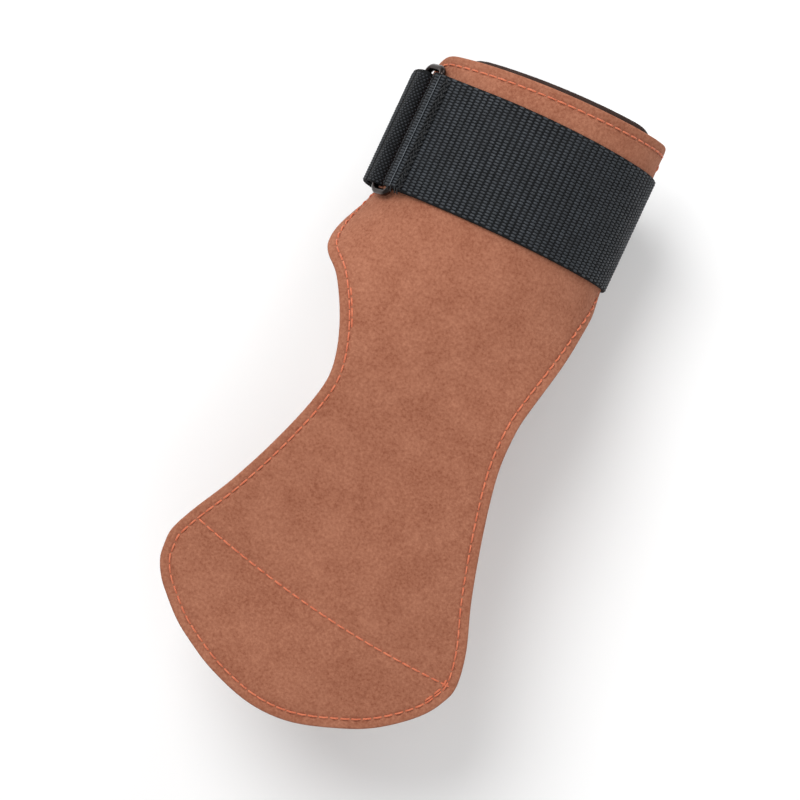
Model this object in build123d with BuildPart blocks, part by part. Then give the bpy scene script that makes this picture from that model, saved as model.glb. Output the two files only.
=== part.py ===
"""Leather palm grip for bar work, worn on the right hand: three-layer wrist cuff, palm flap and strap.

Frame: millimetres, +Z out of the palm, +Y from the fingers towards the forearm, +X towards the little
finger. The origin is the centre of the wrist opening, in the middle of the strap's width.

One hide runs the whole length. It is written as three panels, cuff, palm and finger, because it bends at
the waist and at the cross seam. Each bend is a V-shaped notch about the bend's axis.
"""

import os
from math import acos, atan2, cos, degrees, hypot, radians, sin, tan

from build123d import *

os.makedirs("parts", exist_ok=True)

# Wrist opening, an oval of one long arc in front and a round arc at each side
opening_half_width = 31.0
opening_half_height = 21.5
side_radius = 15.0

# Thickness of each layer, from the skin outwards, and the glue line between them
lining_thickness = 0.6
foam_thickness = 3.6
backing_thickness = 1.4
face_thickness = 1.8
glue_gap = 0.05

# How far the layers reach round the wrist, from the crown, in degrees
thumb_side_reach = 74.0
little_side_reach = 90.0

# Lengths along the forearm
leather_top_y = 29.0
pad_top_y = 30.4
cuff_low_y = -24.0
shoulder_y = -42.0
waist_y = -73.5
leather_corner_radius = 8.0
pad_corner_radius = 6.0

# Shoulder section, where the cuff starts to flatten
shoulder_drop = 0.4
shoulder_crown_radius = 85.0
shoulder_crown_half = 24.0
shoulder_side_radius = 32.0
shoulder_thumb_sweep = 47.0
shoulder_little_sweep = 30.0
section_steps = 6

# Waist, palm and finger panels, as seen from the front
waist_thumb_x = -26.8
waist_little_x = 31.9
waist_drop = 1.9
palm_slope = 3.0
finger_slope = 4.0
seam_thumb = (-49.5, -138.1)
seam_little = (47.8, -153.4)
thumb_side = ((-30.3, -95.2), (-39.9, -119.7))
little_side = ((35.7, -101.1), (46.0, -135.5))
fan_thumb_corner = (-50.3, -148.0)
fan_thumb_turn = (-37.5, -165.5)
fan_tip = (-1.0, -179.3)
fan_little_turn = (31.5, -169.6)
fan_little_corner = (44.0, -159.0)

# Bends
waist_lift = 80.0
waist_droop = 25.0
seam_curl = 100.0
seam_droop = 20.0
bend_margin = 1.5
bend_gap = 0.15
notch_reach_ratio = 3.0
bend_room_ratio = 2.0

# Strap, ring and tapes
strap_width = 38.0
strap_thickness = 1.4
strap_gap = 0.1
wire_radius = 1.1
wire_gap = 0.05
ring_first_angle = 46.0
ring_bar_spacing = 8.5
ring_end_gap = 0.8
ring_corner_radius = 2.4
loop_return_turn = 14.2
fold_gap = 0.3
fold_low_angle = 72.0
tape_width = 34.0
tail_end_angle = 25.0
loop_tape_end_angle = 29.0
hook_tape_end_angle = 22.0
tape_start_angle = 30.0
back_half_height = 30.5
back_side_radius = 16.0

# Thread
stitch_length = 2.3
stitch_pitch = 3.3
thread_width = 0.7
thread_height = 0.3
thread_corner = 0.3
seam_inset = 3.0
side_slant = 20.0
cross_seam_setback = 3.5
cross_seam_end_room = 1.0
top_seam_inset = 4.2
loop_seam_pitch = 2.4
loop_seam_length = 1.6
loop_seam_setback = 3.5
tape_seam_inset_angle = 2.5

# Derived sizes
side_x = opening_half_width - side_radius
front_radius = (side_x**2 + opening_half_height**2 - side_radius**2) / (
    2 * (opening_half_height - side_radius)
)
front_z = opening_half_height - front_radius
tangent_angle = degrees(atan2(side_x, -front_z))
loop_return_angle = tangent_angle - loop_return_turn
foam_in = lining_thickness + glue_gap
foam_out = foam_in + foam_thickness
backing_in = foam_out + glue_gap
backing_out = backing_in + backing_thickness
face_in = backing_out + glue_gap
face_out = face_in + face_thickness
flap_thickness = face_out - backing_in
notch_reach = notch_reach_ratio * flap_thickness
bend_room = bend_room_ratio * flap_thickness
strap_in = face_out + strap_gap
strap_out = strap_in + strap_thickness
bar_distance = side_radius + strap_out + wire_gap + wire_radius
ring_second_angle = ring_first_angle + 2 * degrees(acos((1 - (ring_bar_spacing / 2 / bar_distance) ** 2) ** 0.5))
crown_z = opening_half_height + face_out
waist_z = crown_z - waist_drop
strap_high_y = strap_width / 2
loop_inner = wire_radius + wire_gap
loop_outer = loop_inner + strap_thickness
tail_in = bar_distance - side_radius + loop_inner
tail_out = tail_in + strap_thickness
tape_room = tail_in - strap_out - 2 * glue_gap
tape_thickness = (tape_room - fold_gap) / 2
back_half_width = opening_half_width + strap_in
back_x = back_half_width - back_side_radius
back_radius = (back_x**2 + back_half_height**2 - back_side_radius**2) / (
    2 * (back_half_height - back_side_radius)
)
back_z = back_radius - back_half_height
back_tangent = degrees(atan2(back_x, back_z))

front_centre = (0.0, front_z)
thumb_centre = (-side_x, 0.0)
little_centre = (side_x, 0.0)
back_centre = (0.0, back_z)
back_thumb_centre = (-back_x, 0.0)
back_little_centre = (back_x, 0.0)


def polar(centre, radius, angle):
    """Point at a radius and an angle in degrees from a centre."""
    return (centre[0] + radius * cos(radians(angle)), centre[1] + radius * sin(radians(angle)))


def outer_tangent(first, first_radius, second, second_radius):
    """Angle of the normal that two circles share at their outer tangent, clockwise of the second's centre."""
    across, up = second[0] - first[0], second[1] - first[1]
    lean = degrees(acos((first_radius - second_radius) / hypot(across, up)))
    return degrees(atan2(up, across)) - lean


bar_first = polar(thumb_centre, bar_distance, 90 + ring_first_angle)
bar_second = polar(thumb_centre, bar_distance, 90 + ring_second_angle)


def arc(centre, radius, start, end):
    """Arc about a centre from one angle to another."""
    return CenterArc(centre, radius, start, end - start)


def cuff_line(offset, thumb_reach=thumb_side_reach, little_reach=little_side_reach):
    """Edges of the oval at an offset from the opening, from the thumb side to the little finger's."""
    return [
        arc(thumb_centre, side_radius + offset, 90 + thumb_reach, 90 + tangent_angle),
        arc(front_centre, front_radius + offset, 90 + tangent_angle, 90 - tangent_angle),
        arc(little_centre, side_radius + offset, 90 - tangent_angle, 90 - little_reach),
    ]


def close(outer, inner):
    """Joins two open rows of edges at their ends, inside a BuildLine."""
    for end in (0, 1):
        near = outer[-end] @ end
        far = inner[-end] @ end
        Line(near, far)


def corner_cut(centre, angle, inward, high_y, corner):
    """Prism that rounds an upper corner of a cuff layer, at the angle where the layer ends."""
    out = Vector(cos(radians(angle)), 0, sin(radians(angle)))
    x, z = polar(centre, side_radius, angle)
    plane = Plane(origin=(x, high_y, z), x_dir=(out.Z, 0, -out.X), z_dir=out)
    with BuildPart() as cut:
        with BuildSketch(plane):
            Rectangle(2 * corner, 2 * corner)
            with Locations((inward * corner, -corner)):
                Circle(corner, mode=Mode.SUBTRACT)
        extrude(amount=2 * face_out)
    return cut.part


def cuff_layer(inside, outside, low_y, high_y, corner):
    """Band of the cuff between two offsets, with its upper corners rounded."""
    with BuildPart() as layer:
        with BuildSketch(Plane.XZ.offset(-high_y)):
            with BuildLine():
                close(cuff_line(outside), cuff_line(inside))
            make_face()
        extrude(amount=high_y - low_y)
        add(corner_cut(thumb_centre, 90 + thumb_side_reach, 1, high_y, corner), mode=Mode.SUBTRACT)
        add(corner_cut(little_centre, 90 - little_side_reach, -1, high_y, corner), mode=Mode.SUBTRACT)
    return layer


def arc_points(centre, radius, start, end):
    """Evenly spaced points of an arc, without its last one."""
    turn = (end - start) / section_steps
    return [polar(centre, radius, start + turn * step) for step in range(section_steps)]


def cuff_curve(offset):
    """The cuff's oval as one smooth curve, at an offset from the opening."""
    return Spline(
        *arc_points(thumb_centre, side_radius + offset, 90 + thumb_side_reach, 90 + tangent_angle),
        *arc_points(front_centre, front_radius + offset, 90 + tangent_angle, 90 - tangent_angle),
        *arc_points(little_centre, side_radius + offset, 90 - tangent_angle, 90 - little_side_reach),
        polar(little_centre, side_radius + offset, 90 - little_side_reach),
    )


shoulder_half_turn = degrees(shoulder_crown_half / shoulder_crown_radius)
shoulder_centre = (0.0, crown_z - shoulder_drop - shoulder_crown_radius)
shoulder_side_centres = [
    polar(shoulder_centre, shoulder_crown_radius - shoulder_side_radius, 90 - side * shoulder_half_turn)
    for side in (-1, 1)
]


def shoulder_curve(depth):
    """The shoulder section as one smooth curve, at a depth under its outer surface."""
    thumb, little = shoulder_side_centres
    side = shoulder_side_radius - depth
    crown = shoulder_crown_radius - depth
    first = 90 + shoulder_half_turn
    last = 90 - shoulder_half_turn
    return Spline(
        *arc_points(thumb, side, first + shoulder_thumb_sweep, first),
        *arc_points(shoulder_centre, crown, first, last),
        *arc_points(little, side, last, last - shoulder_little_sweep),
        polar(little, side, last - shoulder_little_sweep),
    )


def waist_curve(depth):
    """The straight waist section, at a depth under its outer surface."""
    return Line((waist_thumb_x, waist_z - depth), (waist_little_x, waist_z - depth))


def cuff_leather(inside, outside):
    """Cuff and heel as one piece of leather, flattening towards its notch at the waist."""
    sections = [
        (leather_top_y, cuff_curve, outside, inside),
        (cuff_low_y, cuff_curve, outside, inside),
        (shoulder_y, shoulder_curve, face_out - outside, face_out - inside),
        (waist_y, waist_curve, face_out - outside, face_out - inside),
    ]
    with BuildPart() as leather:
        for y, curve, front, back in sections:
            with BuildSketch(Plane.XZ.offset(-y)):
                with BuildLine():
                    close([curve(front)], [curve(back)])
                make_face()
        loft(ruled=True)
        add(corner_cut(thumb_centre, 90 + thumb_side_reach, 1, leather_top_y, leather_corner_radius),
            mode=Mode.SUBTRACT)
        add(corner_cut(little_centre, 90 - little_side_reach, -1, leather_top_y, leather_corner_radius),
            mode=Mode.SUBTRACT)
        add(waist_notch, mode=Mode.SUBTRACT)
    return leather


# Planes of the palm panel and of the finger panel, at the front face of the leather
palm_plane = Plane(
    origin=(0, waist_y, waist_z),
    x_dir=(1, 0, 0),
    z_dir=(0, -sin(radians(palm_slope)), cos(radians(palm_slope))),
)


def on_palm(point):
    """A point seen from the front, in the palm plane's own coordinates."""
    return (point[0], (point[1] - waist_y) / cos(radians(palm_slope)))


seam_start = palm_plane.from_local_coords(Vector(*on_palm(seam_thumb), -flap_thickness / 2))
seam_end = palm_plane.from_local_coords(Vector(*on_palm(seam_little), -flap_thickness / 2))
seam_axis = Axis(seam_start, seam_end - seam_start)
seam_length = (seam_end - seam_start).length
waist_axis = Axis((0, waist_y, waist_z - flap_thickness / 2), (1, 0, 0))


def notch(axis, length, above, below):
    """Bow-tie prism about a bend's axis: the room that the leather's two sides need when it bends."""
    across = axis.direction.normalized()
    up = (Vector(0, 0, 1) - across * across.Z).normalized()
    plane = Plane(origin=axis.position, x_dir=across.cross(up), z_dir=across)
    upper = notch_reach * tan(radians(above / 2 + bend_margin))
    lower = notch_reach * tan(radians(below / 2 + bend_margin))
    rise = (up.dot(plane.y_dir) > 0) * 2 - 1
    with BuildPart() as tool:
        with BuildSketch(plane):
            Polygon(
                (-bend_gap, 0),
                (-bend_gap - upper, rise * notch_reach),
                (bend_gap + upper, rise * notch_reach),
                (bend_gap, 0),
                (bend_gap + lower, -rise * notch_reach),
                (-bend_gap - lower, -rise * notch_reach),
                align=None,
            )
        extrude(amount=length, both=True)
    return tool.part


waist_notch = notch(waist_axis, 2 * opening_half_width, waist_lift, waist_droop)
seam_notch = notch(seam_axis, 2 * seam_length, seam_curl, seam_droop)


thumb_edge = [(waist_thumb_x, waist_y), *thumb_side, seam_thumb]
little_edge = [(waist_little_x, waist_y), *little_side, seam_little]


def palm_outline():
    """Outline of the palm panel, from the waist to the cross seam."""
    Spline(*[on_palm(p) for p in thumb_edge])
    Line(on_palm(seam_thumb), on_palm(seam_little))
    Spline(*[on_palm(p) for p in reversed(little_edge)])
    Line(on_palm(little_edge[0]), on_palm(thumb_edge[0]))


def fan_curve():
    """Rounded free end, from the thumb side of the cross seam to the other side."""
    stops = [seam_thumb, fan_thumb_corner, fan_thumb_turn, fan_tip, fan_little_turn, fan_little_corner, seam_little]
    return Spline(*[on_palm(p) for p in stops])


def palm_layer(front, depth):
    """Flat leather of the palm panel, front being how far its face lies under the panel's."""
    with BuildPart() as layer:
        with BuildSketch(palm_plane.offset(-front)):
            with BuildLine():
                palm_outline()
            make_face()
        extrude(amount=-depth)
        add(waist_notch, mode=Mode.SUBTRACT)
        add(seam_notch, mode=Mode.SUBTRACT)
    return layer


def finger_layer(front, depth):
    """Flat leather of the finger panel, in the palm's plane; it is turned about the seam afterwards."""
    with BuildPart() as layer:
        with BuildSketch(palm_plane.offset(-front)):
            with BuildLine():
                fan_curve()
                Line(on_palm(seam_little), on_palm(seam_thumb))
            make_face()
        extrude(amount=-depth)
        add(seam_notch, mode=Mode.SUBTRACT)
    return layer


def lift(shape):
    """Turns a shape of the finger panel up about the cross seam, towards the front."""
    return shape.rotate(seam_axis, -finger_slope)


def save(shape, name):
    """Labels a finished piece and writes it."""
    shape.label = name
    export_step(shape, f"parts/{name}.step")


cuff_face = cuff_leather(face_in, face_out)
save(cuff_face.part, "cuff_face_leather")
cuff_backing = cuff_leather(backing_in, backing_out)
save(cuff_backing.part, "cuff_backing_leather")

foam = cuff_layer(foam_in, foam_out, cuff_low_y, pad_top_y, pad_corner_radius)
save(foam.part, "wrist_pad_foam")
lining = cuff_layer(0, lining_thickness, cuff_low_y, pad_top_y, pad_corner_radius)
save(lining.part, "wrist_pad_lining")

palm_face = palm_layer(0, face_thickness)
save(palm_face.part, "palm_face_leather")
palm_backing = palm_layer(face_thickness + glue_gap, backing_thickness)
save(palm_backing.part, "palm_backing_leather")
finger_face = finger_layer(0, face_thickness)
save(lift(finger_face.part), "finger_face_leather")
finger_backing = finger_layer(face_thickness + glue_gap, backing_thickness)
save(lift(finger_backing.part), "finger_backing_leather")


# Strap: a loop round the ring's first bar, the front run, and the back run up to the second bar
def back_lines(offset, little_angle, thumb_angle):
    """Edges under the wrist at an offset from the opening, from an angle past the lowest point, on the
    little finger's side, to an angle from the crown on the thumb's side, where None stops at the middle."""
    behind = offset - strap_in
    lines = [
        arc(back_centre, back_radius + behind, 270 + little_angle, 270 - back_tangent),
        arc(back_thumb_centre, back_side_radius + behind, 270 - back_tangent, 180),
    ]
    if thumb_angle is not None:
        lines.append(arc(thumb_centre, side_radius + offset, 180, 90 + thumb_angle))
    return lines


strap_leave = outer_tangent(front_centre, front_radius + strap_in, bar_first, loop_inner)


def strap_side(offset):
    """Edges of the strap's run at an offset, from the thumb side of the front to the end of the back."""
    return [
        arc(front_centre, front_radius + offset, strap_leave, 90 - tangent_angle),
        arc(little_centre, side_radius + offset, 90 - tangent_angle, 0),
        arc(back_little_centre, back_side_radius + offset - strap_in, 0, back_tangent - 90),
        *back_lines(offset, back_tangent, fold_low_angle),
    ]


loop_end = 270 + ring_first_angle
with BuildPart() as strap_webbing:
    with BuildSketch(Plane.XZ.offset(-strap_high_y)):
        with BuildLine():
            close(strap_side(strap_out), strap_side(strap_in))
        make_face()
        Polygon(
            polar(front_centre, front_radius + strap_in, strap_leave),
            polar(front_centre, front_radius + strap_out, strap_leave),
            polar(bar_first, loop_outer, strap_leave),
            polar(bar_first, loop_inner, strap_leave),
            align=None,
        )
        with BuildLine():
            close(
                [arc(bar_first, loop_outer, strap_leave, loop_end)],
                [arc(bar_first, loop_inner, strap_leave, loop_end)],
            )
        make_face()
        with BuildLine():
            close(
                [
                    arc(thumb_centre, side_radius + strap_out, 90 + ring_first_angle, 90 + tangent_angle),
                    arc(front_centre, front_radius + strap_out, 90 + tangent_angle, 90 + loop_return_angle),
                ],
                [
                    arc(thumb_centre, side_radius + strap_in, 90 + ring_first_angle, 90 + tangent_angle),
                    arc(front_centre, front_radius + strap_in, 90 + tangent_angle, 90 + loop_return_angle),
                ],
            )
        make_face()
    extrude(amount=strap_width)
save(strap_webbing.part, "strap_webbing")


# Wire ring, its two bars along the forearm, at the strap's thumb end
bar_along = Vector(bar_second[0] - bar_first[0], 0, bar_second[1] - bar_first[1]).normalized()
bar_middle = Vector((bar_first[0] + bar_second[0]) / 2, 0, (bar_first[1] + bar_second[1]) / 2)
ring_plane = Plane(origin=bar_middle, x_dir=bar_along, z_dir=bar_along.cross(Vector(0, 1, 0)))
ring_length = strap_width + 2 * (ring_end_gap + wire_radius)
with BuildPart() as ring:
    with BuildLine(ring_plane) as half_ring:
        FilletPolyline(
            (0, -ring_length / 2),
            (ring_bar_spacing / 2, -ring_length / 2),
            (ring_bar_spacing / 2, ring_length / 2),
            (0, ring_length / 2),
            radius=ring_corner_radius,
        )
    with BuildSketch(Plane(origin=half_ring.line @ 0, z_dir=half_ring.line % 0)):
        Circle(wire_radius)
    sweep(path=half_ring.line)
    mirror(about=Plane(origin=ring_plane.origin, z_dir=ring_plane.x_dir))
save(ring.part, "strap_ring")


# Strap end that comes from behind, round the ring's second bar and back over itself
fold_start = ring_second_angle - 90
fold_low = 90 + fold_low_angle - degrees(fold_gap / (side_radius + strap_in))
with BuildPart() as strap_fold:
    with BuildSketch(Plane.XZ.offset(-strap_high_y)):
        with BuildLine():
            close(
                [arc(bar_second, loop_outer, fold_start, fold_start + 180)],
                [arc(bar_second, loop_inner, fold_start, fold_start + 180)],
            )
        make_face()
        for near, far in ((strap_in, strap_out), (tail_in, tail_out)):
            with BuildLine():
                close(
                    [arc(thumb_centre, side_radius + far, 90 + ring_second_angle, fold_low)],
                    [arc(thumb_centre, side_radius + near, 90 + ring_second_angle, fold_low)],
                )
            make_face()
    extrude(amount=strap_width)
save(strap_fold.part, "strap_fold")

with BuildPart() as strap_tail:
    with BuildSketch(Plane.XZ.offset(-strap_high_y)):
        with BuildLine():
            close(
                back_lines(tail_out, tail_end_angle, fold_low_angle),
                back_lines(tail_in, tail_end_angle, fold_low_angle),
            )
        make_face()
    extrude(amount=strap_width)
save(strap_tail.part, "strap_tail")


def tape(inside, outside, end_angle):
    """Strip of hook or loop tape under the wrist, between two offsets."""
    with BuildPart() as strip:
        with BuildSketch(Plane.XZ.offset(-tape_width / 2)):
            with BuildLine():
                close(
                    [arc(back_centre, back_radius + outside - strap_in, 270 + end_angle, 270 - tape_start_angle)],
                    [arc(back_centre, back_radius + inside - strap_in, 270 + end_angle, 270 - tape_start_angle)],
                )
            make_face()
        extrude(amount=tape_width)
    return strip


loop_tape = tape(strap_out + glue_gap, strap_out + glue_gap + tape_thickness, loop_tape_end_angle)
save(loop_tape.part, "loop_tape")
hook_tape = tape(tail_in - glue_gap - tape_thickness, tail_in - glue_gap, hook_tape_end_angle)
save(hook_tape.part, "hook_tape")


# Thread. Each stitch is a short bar that stands on its leather
def stitch_row(places, length=stitch_length):
    """Equal stitches; each place is a plane on the surface, its x along the row."""
    with BuildPart() as row:
        for place in places:
            with BuildSketch(place.offset(glue_gap)):
                RectangleRounded(length, thread_width, thread_corner)
            extrude(amount=thread_height)
    return row.part


def spaced(length, pitch=stitch_pitch):
    """Distances of the stitches along a row, centred on it."""
    count = int(length / pitch)
    return [(length - (count - 1) * pitch) / 2 + pitch * step for step in range(count)]


def arc_stitches(centre, radius, start, end, y):
    """Stitches round an arc of the cuff at one height along the forearm."""
    places = []
    for run in spaced(radius * radians(end - start)):
        angle = start + degrees(run / radius)
        x, z = polar(centre, radius, angle)
        out = Vector(cos(radians(angle)), 0, sin(radians(angle)))
        places.append(Plane(origin=(x, y, z), x_dir=(-out.Z, 0, out.X), z_dir=out))
    return places


def line_stitches(start, end, out, pitch=stitch_pitch):
    """Stitches along a straight row between two points, on a face whose outward direction is given."""
    along = end - start
    direction = along.normalized()
    out = (out - direction * out.dot(direction)).normalized()
    return [
        Plane(origin=start + direction * run, x_dir=direction, z_dir=out)
        for run in spaced(along.length, pitch)
    ]


def settled(place):
    """The place moved along its own outward direction onto the front face of the cuff's leather."""
    reach = Axis(place.origin + place.z_dir * face_out, -place.z_dir)
    hits = cuff_face.part.find_intersection_points(reach)
    point, normal = max(hits, key=lambda hit: hit[0].dot(place.z_dir))
    return Plane(origin=point, x_dir=place.x_dir, z_dir=normal)


corner_turn = degrees(leather_corner_radius / (side_radius + face_out))
top_row_y = leather_top_y - top_seam_inset
top_row = [
    *arc_stitches(
        thumb_centre, side_radius + face_out, 90 + tangent_angle, 90 + thumb_side_reach - corner_turn, top_row_y
    ),
    *arc_stitches(front_centre, front_radius + face_out, 90 - tangent_angle, 90 + tangent_angle, top_row_y),
    *arc_stitches(
        little_centre, side_radius + face_out, 90 - little_side_reach + corner_turn, 90 - tangent_angle, top_row_y
    ),
]
save(stitch_row([settled(place) for place in top_row]), "top_edge_stitching")


def heel_points(side):
    """Points of the heel's edge row on its three sections, from the cuff to the waist; side is -1 or 1."""
    reach = thumb_side_reach if side < 0 else little_side_reach
    sweep_angle = shoulder_thumb_sweep if side < 0 else shoulder_little_sweep
    cuff_radius = side_radius + face_out
    cuff_angle = 90 - side * (reach - degrees(seam_inset / cuff_radius))
    cuff_point = polar((side * side_x, 0.0), cuff_radius, cuff_angle)
    turn = 90 - side * (shoulder_half_turn + sweep_angle - degrees(seam_inset / shoulder_side_radius))
    shoulder_point = polar(shoulder_side_centres[side > 0], shoulder_side_radius, turn)
    waist_x = (waist_thumb_x + seam_inset) if side < 0 else (waist_little_x - seam_inset)
    return [
        (Vector(cuff_point[0], cuff_low_y, cuff_point[1]), cuff_angle),
        (Vector(shoulder_point[0], shoulder_y, shoulder_point[1]), turn),
        (Vector(waist_x, waist_y + bend_room, waist_z), 90.0),
    ]


heel_row = []
for side in (-1, 1):
    stops = heel_points(side)
    for (start, first_angle), (end, last_angle) in zip(stops, stops[1:]):
        mean = radians((first_angle + last_angle) / 2)
        for place in line_stitches(start, end, Vector(cos(mean), 0, sin(mean))):
            heel_row.append(settled(place))
save(stitch_row(heel_row), "heel_edge_stitching")


def flap_stitches(edge, plane, trim=0.0):
    """Stitches along an edge drawn in a panel's own coordinates."""
    places = []
    for run in spaced(edge.length - 2 * trim):
        share = (run + trim) / edge.length
        point = edge @ share
        direction = edge % share
        places.append(
            Plane(
                origin=plane.from_local_coords(Vector(point.X, point.Y, 0)),
                x_dir=plane.from_local_coords(Vector(direction.X, direction.Y, 0)) - plane.origin,
                z_dir=plane.z_dir,
            )
        )
    return places


def inset_points(points, inset):
    """Points of an edge, moved towards the middle line of the flap."""
    middle = (waist_thumb_x + waist_little_x) / 2
    return [on_palm((x + inset * (1 if x < middle else -1), y)) for x, y in points]


side_inset = seam_inset / cos(radians(side_slant))
palm_row = []
for edge_points in (thumb_edge, little_edge):
    with BuildLine() as row_line:
        Spline(*inset_points(edge_points, side_inset))
    palm_row += flap_stitches(row_line.line.edge(), palm_plane, bend_room)
save(stitch_row(palm_row), "palm_edge_stitching")

cross_up = cross_seam_setback + flap_thickness / 2
cross_in = side_inset + cross_seam_end_room
cross_thumb = Vector(*on_palm((seam_thumb[0] + cross_in, seam_thumb[1] + cross_up)))
cross_little = Vector(*on_palm((seam_little[0] - cross_in, seam_little[1] + cross_up)))
with BuildLine() as cross_line:
    Line(cross_thumb, cross_little)
save(stitch_row(flap_stitches(cross_line.line.edge(), palm_plane)), "cross_seam_stitching")

# The fan's edge row runs inside its outline
with BuildSketch() as fan:
    with BuildLine():
        fan_curve()
        Line(on_palm(seam_little), on_palm(seam_thumb))
    make_face()
    offset(amount=-seam_inset, kind=Kind.INTERSECTION)
fan_edges = fan.edges().filter_by(GeomType.LINE, reverse=True)
fan_row = []
for fan_edge in fan_edges:
    fan_row += flap_stitches(fan_edge, palm_plane, flap_thickness)
save(lift(stitch_row(fan_row)), "finger_edge_stitching")

# Seam across the strap beside the ring's loop, on the straight run up to it
leg_out = Vector(cos(radians(strap_leave)), 0, sin(radians(strap_leave)))
leg_along = Vector(-leg_out.Z, 0, leg_out.X)
leg_foot = polar(bar_first, loop_outer, strap_leave)
loop_seam_middle = Vector(leg_foot[0], 0, leg_foot[1]) - leg_along * loop_seam_setback
loop_row_ends = Vector(0, strap_high_y - loop_seam_pitch / 2, 0)
loop_row = line_stitches(
    loop_seam_middle - loop_row_ends, loop_seam_middle + loop_row_ends, leg_out, loop_seam_pitch
)
save(stitch_row(loop_row, loop_seam_length), "ring_loop_stitching")

# Seam across the free end of the tail, through its hook tape
tail_row = []
for angle in (hook_tape_end_angle - tape_seam_inset_angle, tape_seam_inset_angle - tape_start_angle):
    foot = polar(back_centre, back_radius + tail_out - strap_in, 270 + angle)
    out = Vector(cos(radians(270 + angle)), 0, sin(radians(270 + angle)))
    middle = Vector(foot[0], 0, foot[1])
    tail_row += line_stitches(middle - loop_row_ends, middle + loop_row_ends, out, loop_seam_pitch)
save(stitch_row(tail_row, loop_seam_length), "tail_end_stitching")
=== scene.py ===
import logging
from dataclasses import dataclass, replace
from enum import Enum
from math import atan2, cos, pi, radians, sin, tan
from typing import Sequence

import bmesh
import bpy
import numpy as np
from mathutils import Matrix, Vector


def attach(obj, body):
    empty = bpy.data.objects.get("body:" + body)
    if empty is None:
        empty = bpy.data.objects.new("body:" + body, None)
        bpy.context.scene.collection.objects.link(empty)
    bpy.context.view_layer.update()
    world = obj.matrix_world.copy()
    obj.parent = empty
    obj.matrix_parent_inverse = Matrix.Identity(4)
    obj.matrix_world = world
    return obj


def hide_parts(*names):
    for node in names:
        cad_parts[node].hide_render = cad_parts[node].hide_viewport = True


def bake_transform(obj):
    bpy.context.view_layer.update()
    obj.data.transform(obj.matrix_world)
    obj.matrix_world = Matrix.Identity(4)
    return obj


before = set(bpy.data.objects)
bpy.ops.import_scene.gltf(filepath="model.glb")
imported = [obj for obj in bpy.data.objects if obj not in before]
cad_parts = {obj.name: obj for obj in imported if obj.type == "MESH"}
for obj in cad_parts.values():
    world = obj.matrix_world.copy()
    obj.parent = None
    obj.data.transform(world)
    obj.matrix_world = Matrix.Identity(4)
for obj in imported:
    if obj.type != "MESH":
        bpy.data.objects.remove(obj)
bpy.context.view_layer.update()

MM = 0.001
CURVE_STEPS = 24
ROUGHNESS_SPREAD = 0.06
log = logging.getLogger("palm_grip")
Colour = tuple[float, float, float]


def linear(red: int, green: int, blue: int) -> Colour:
    """Scene-linear colour of an sRGB one given in 0 to 255, by the sRGB standard's curve."""
    straight_end, straight_slope = 10, 3294
    return tuple(((c / 255 + 0.055) / 1.055) ** 2.4 if c > straight_end else c / straight_slope
                 for c in (red, green, blue))


# ---------------------------------------------------------------- shader building blocks

def group_nodes(name: str, inputs: Sequence[tuple], outputs: Sequence[tuple]) -> tuple:
    """Starts a shader node group.

    Args:
        name: the group's name.
        inputs: (socket name, socket type, default) of each input.
        outputs: (socket name, socket type) of each output.

    Returns:
        The group, its input node and its output node.
    """
    tree = bpy.data.node_groups.new(name, "ShaderNodeTree")
    for label, kind, default in inputs:
        socket = tree.interface.new_socket(label, in_out="INPUT", socket_type=kind)
        if default is not None:
            socket.default_value = default
    for label, kind in outputs:
        tree.interface.new_socket(label, in_out="OUTPUT", socket_type=kind)
    return tree, tree.nodes.new("NodeGroupInput"), tree.nodes.new("NodeGroupOutput")


def feed(tree: bpy.types.NodeTree, node: bpy.types.Node, values: dict) -> None:
    """Links or sets a node's inputs.

    Args:
        tree: the node tree.
        node: the node.
        values: input name or number to an output socket or a plain value.
    """
    for key, value in values.items():
        if isinstance(value, bpy.types.NodeSocket):
            tree.links.new(value, node.inputs[key])
        else:
            node.inputs[key].default_value = value


def add_node(tree: bpy.types.NodeTree, kind: str, values: dict | None = None, **settings) -> bpy.types.Node:
    """Adds a node, sets its properties and feeds its inputs.

    Args:
        tree: the node tree.
        kind: the node's type name.
        values: input name or number to an output socket or a plain value.
        settings: properties of the node.

    Returns:
        The new node.
    """
    node = tree.nodes.new(kind)
    for key, value in settings.items():
        setattr(node, key, value)
    feed(tree, node, values or {})
    return node


def noise(tree: bpy.types.NodeTree, given: bpy.types.NodeOutputs, scale: str, detail: float,
          roughness: float) -> bpy.types.NodeSocket:
    """Value of a noise texture whose scale comes from one of the group's own inputs."""
    return add_node(tree, "ShaderNodeTexNoise", {"Vector": given["Coordinates"], "Scale": given[scale],
                                                 "Detail": detail, "Roughness": roughness}).outputs[0]


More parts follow.
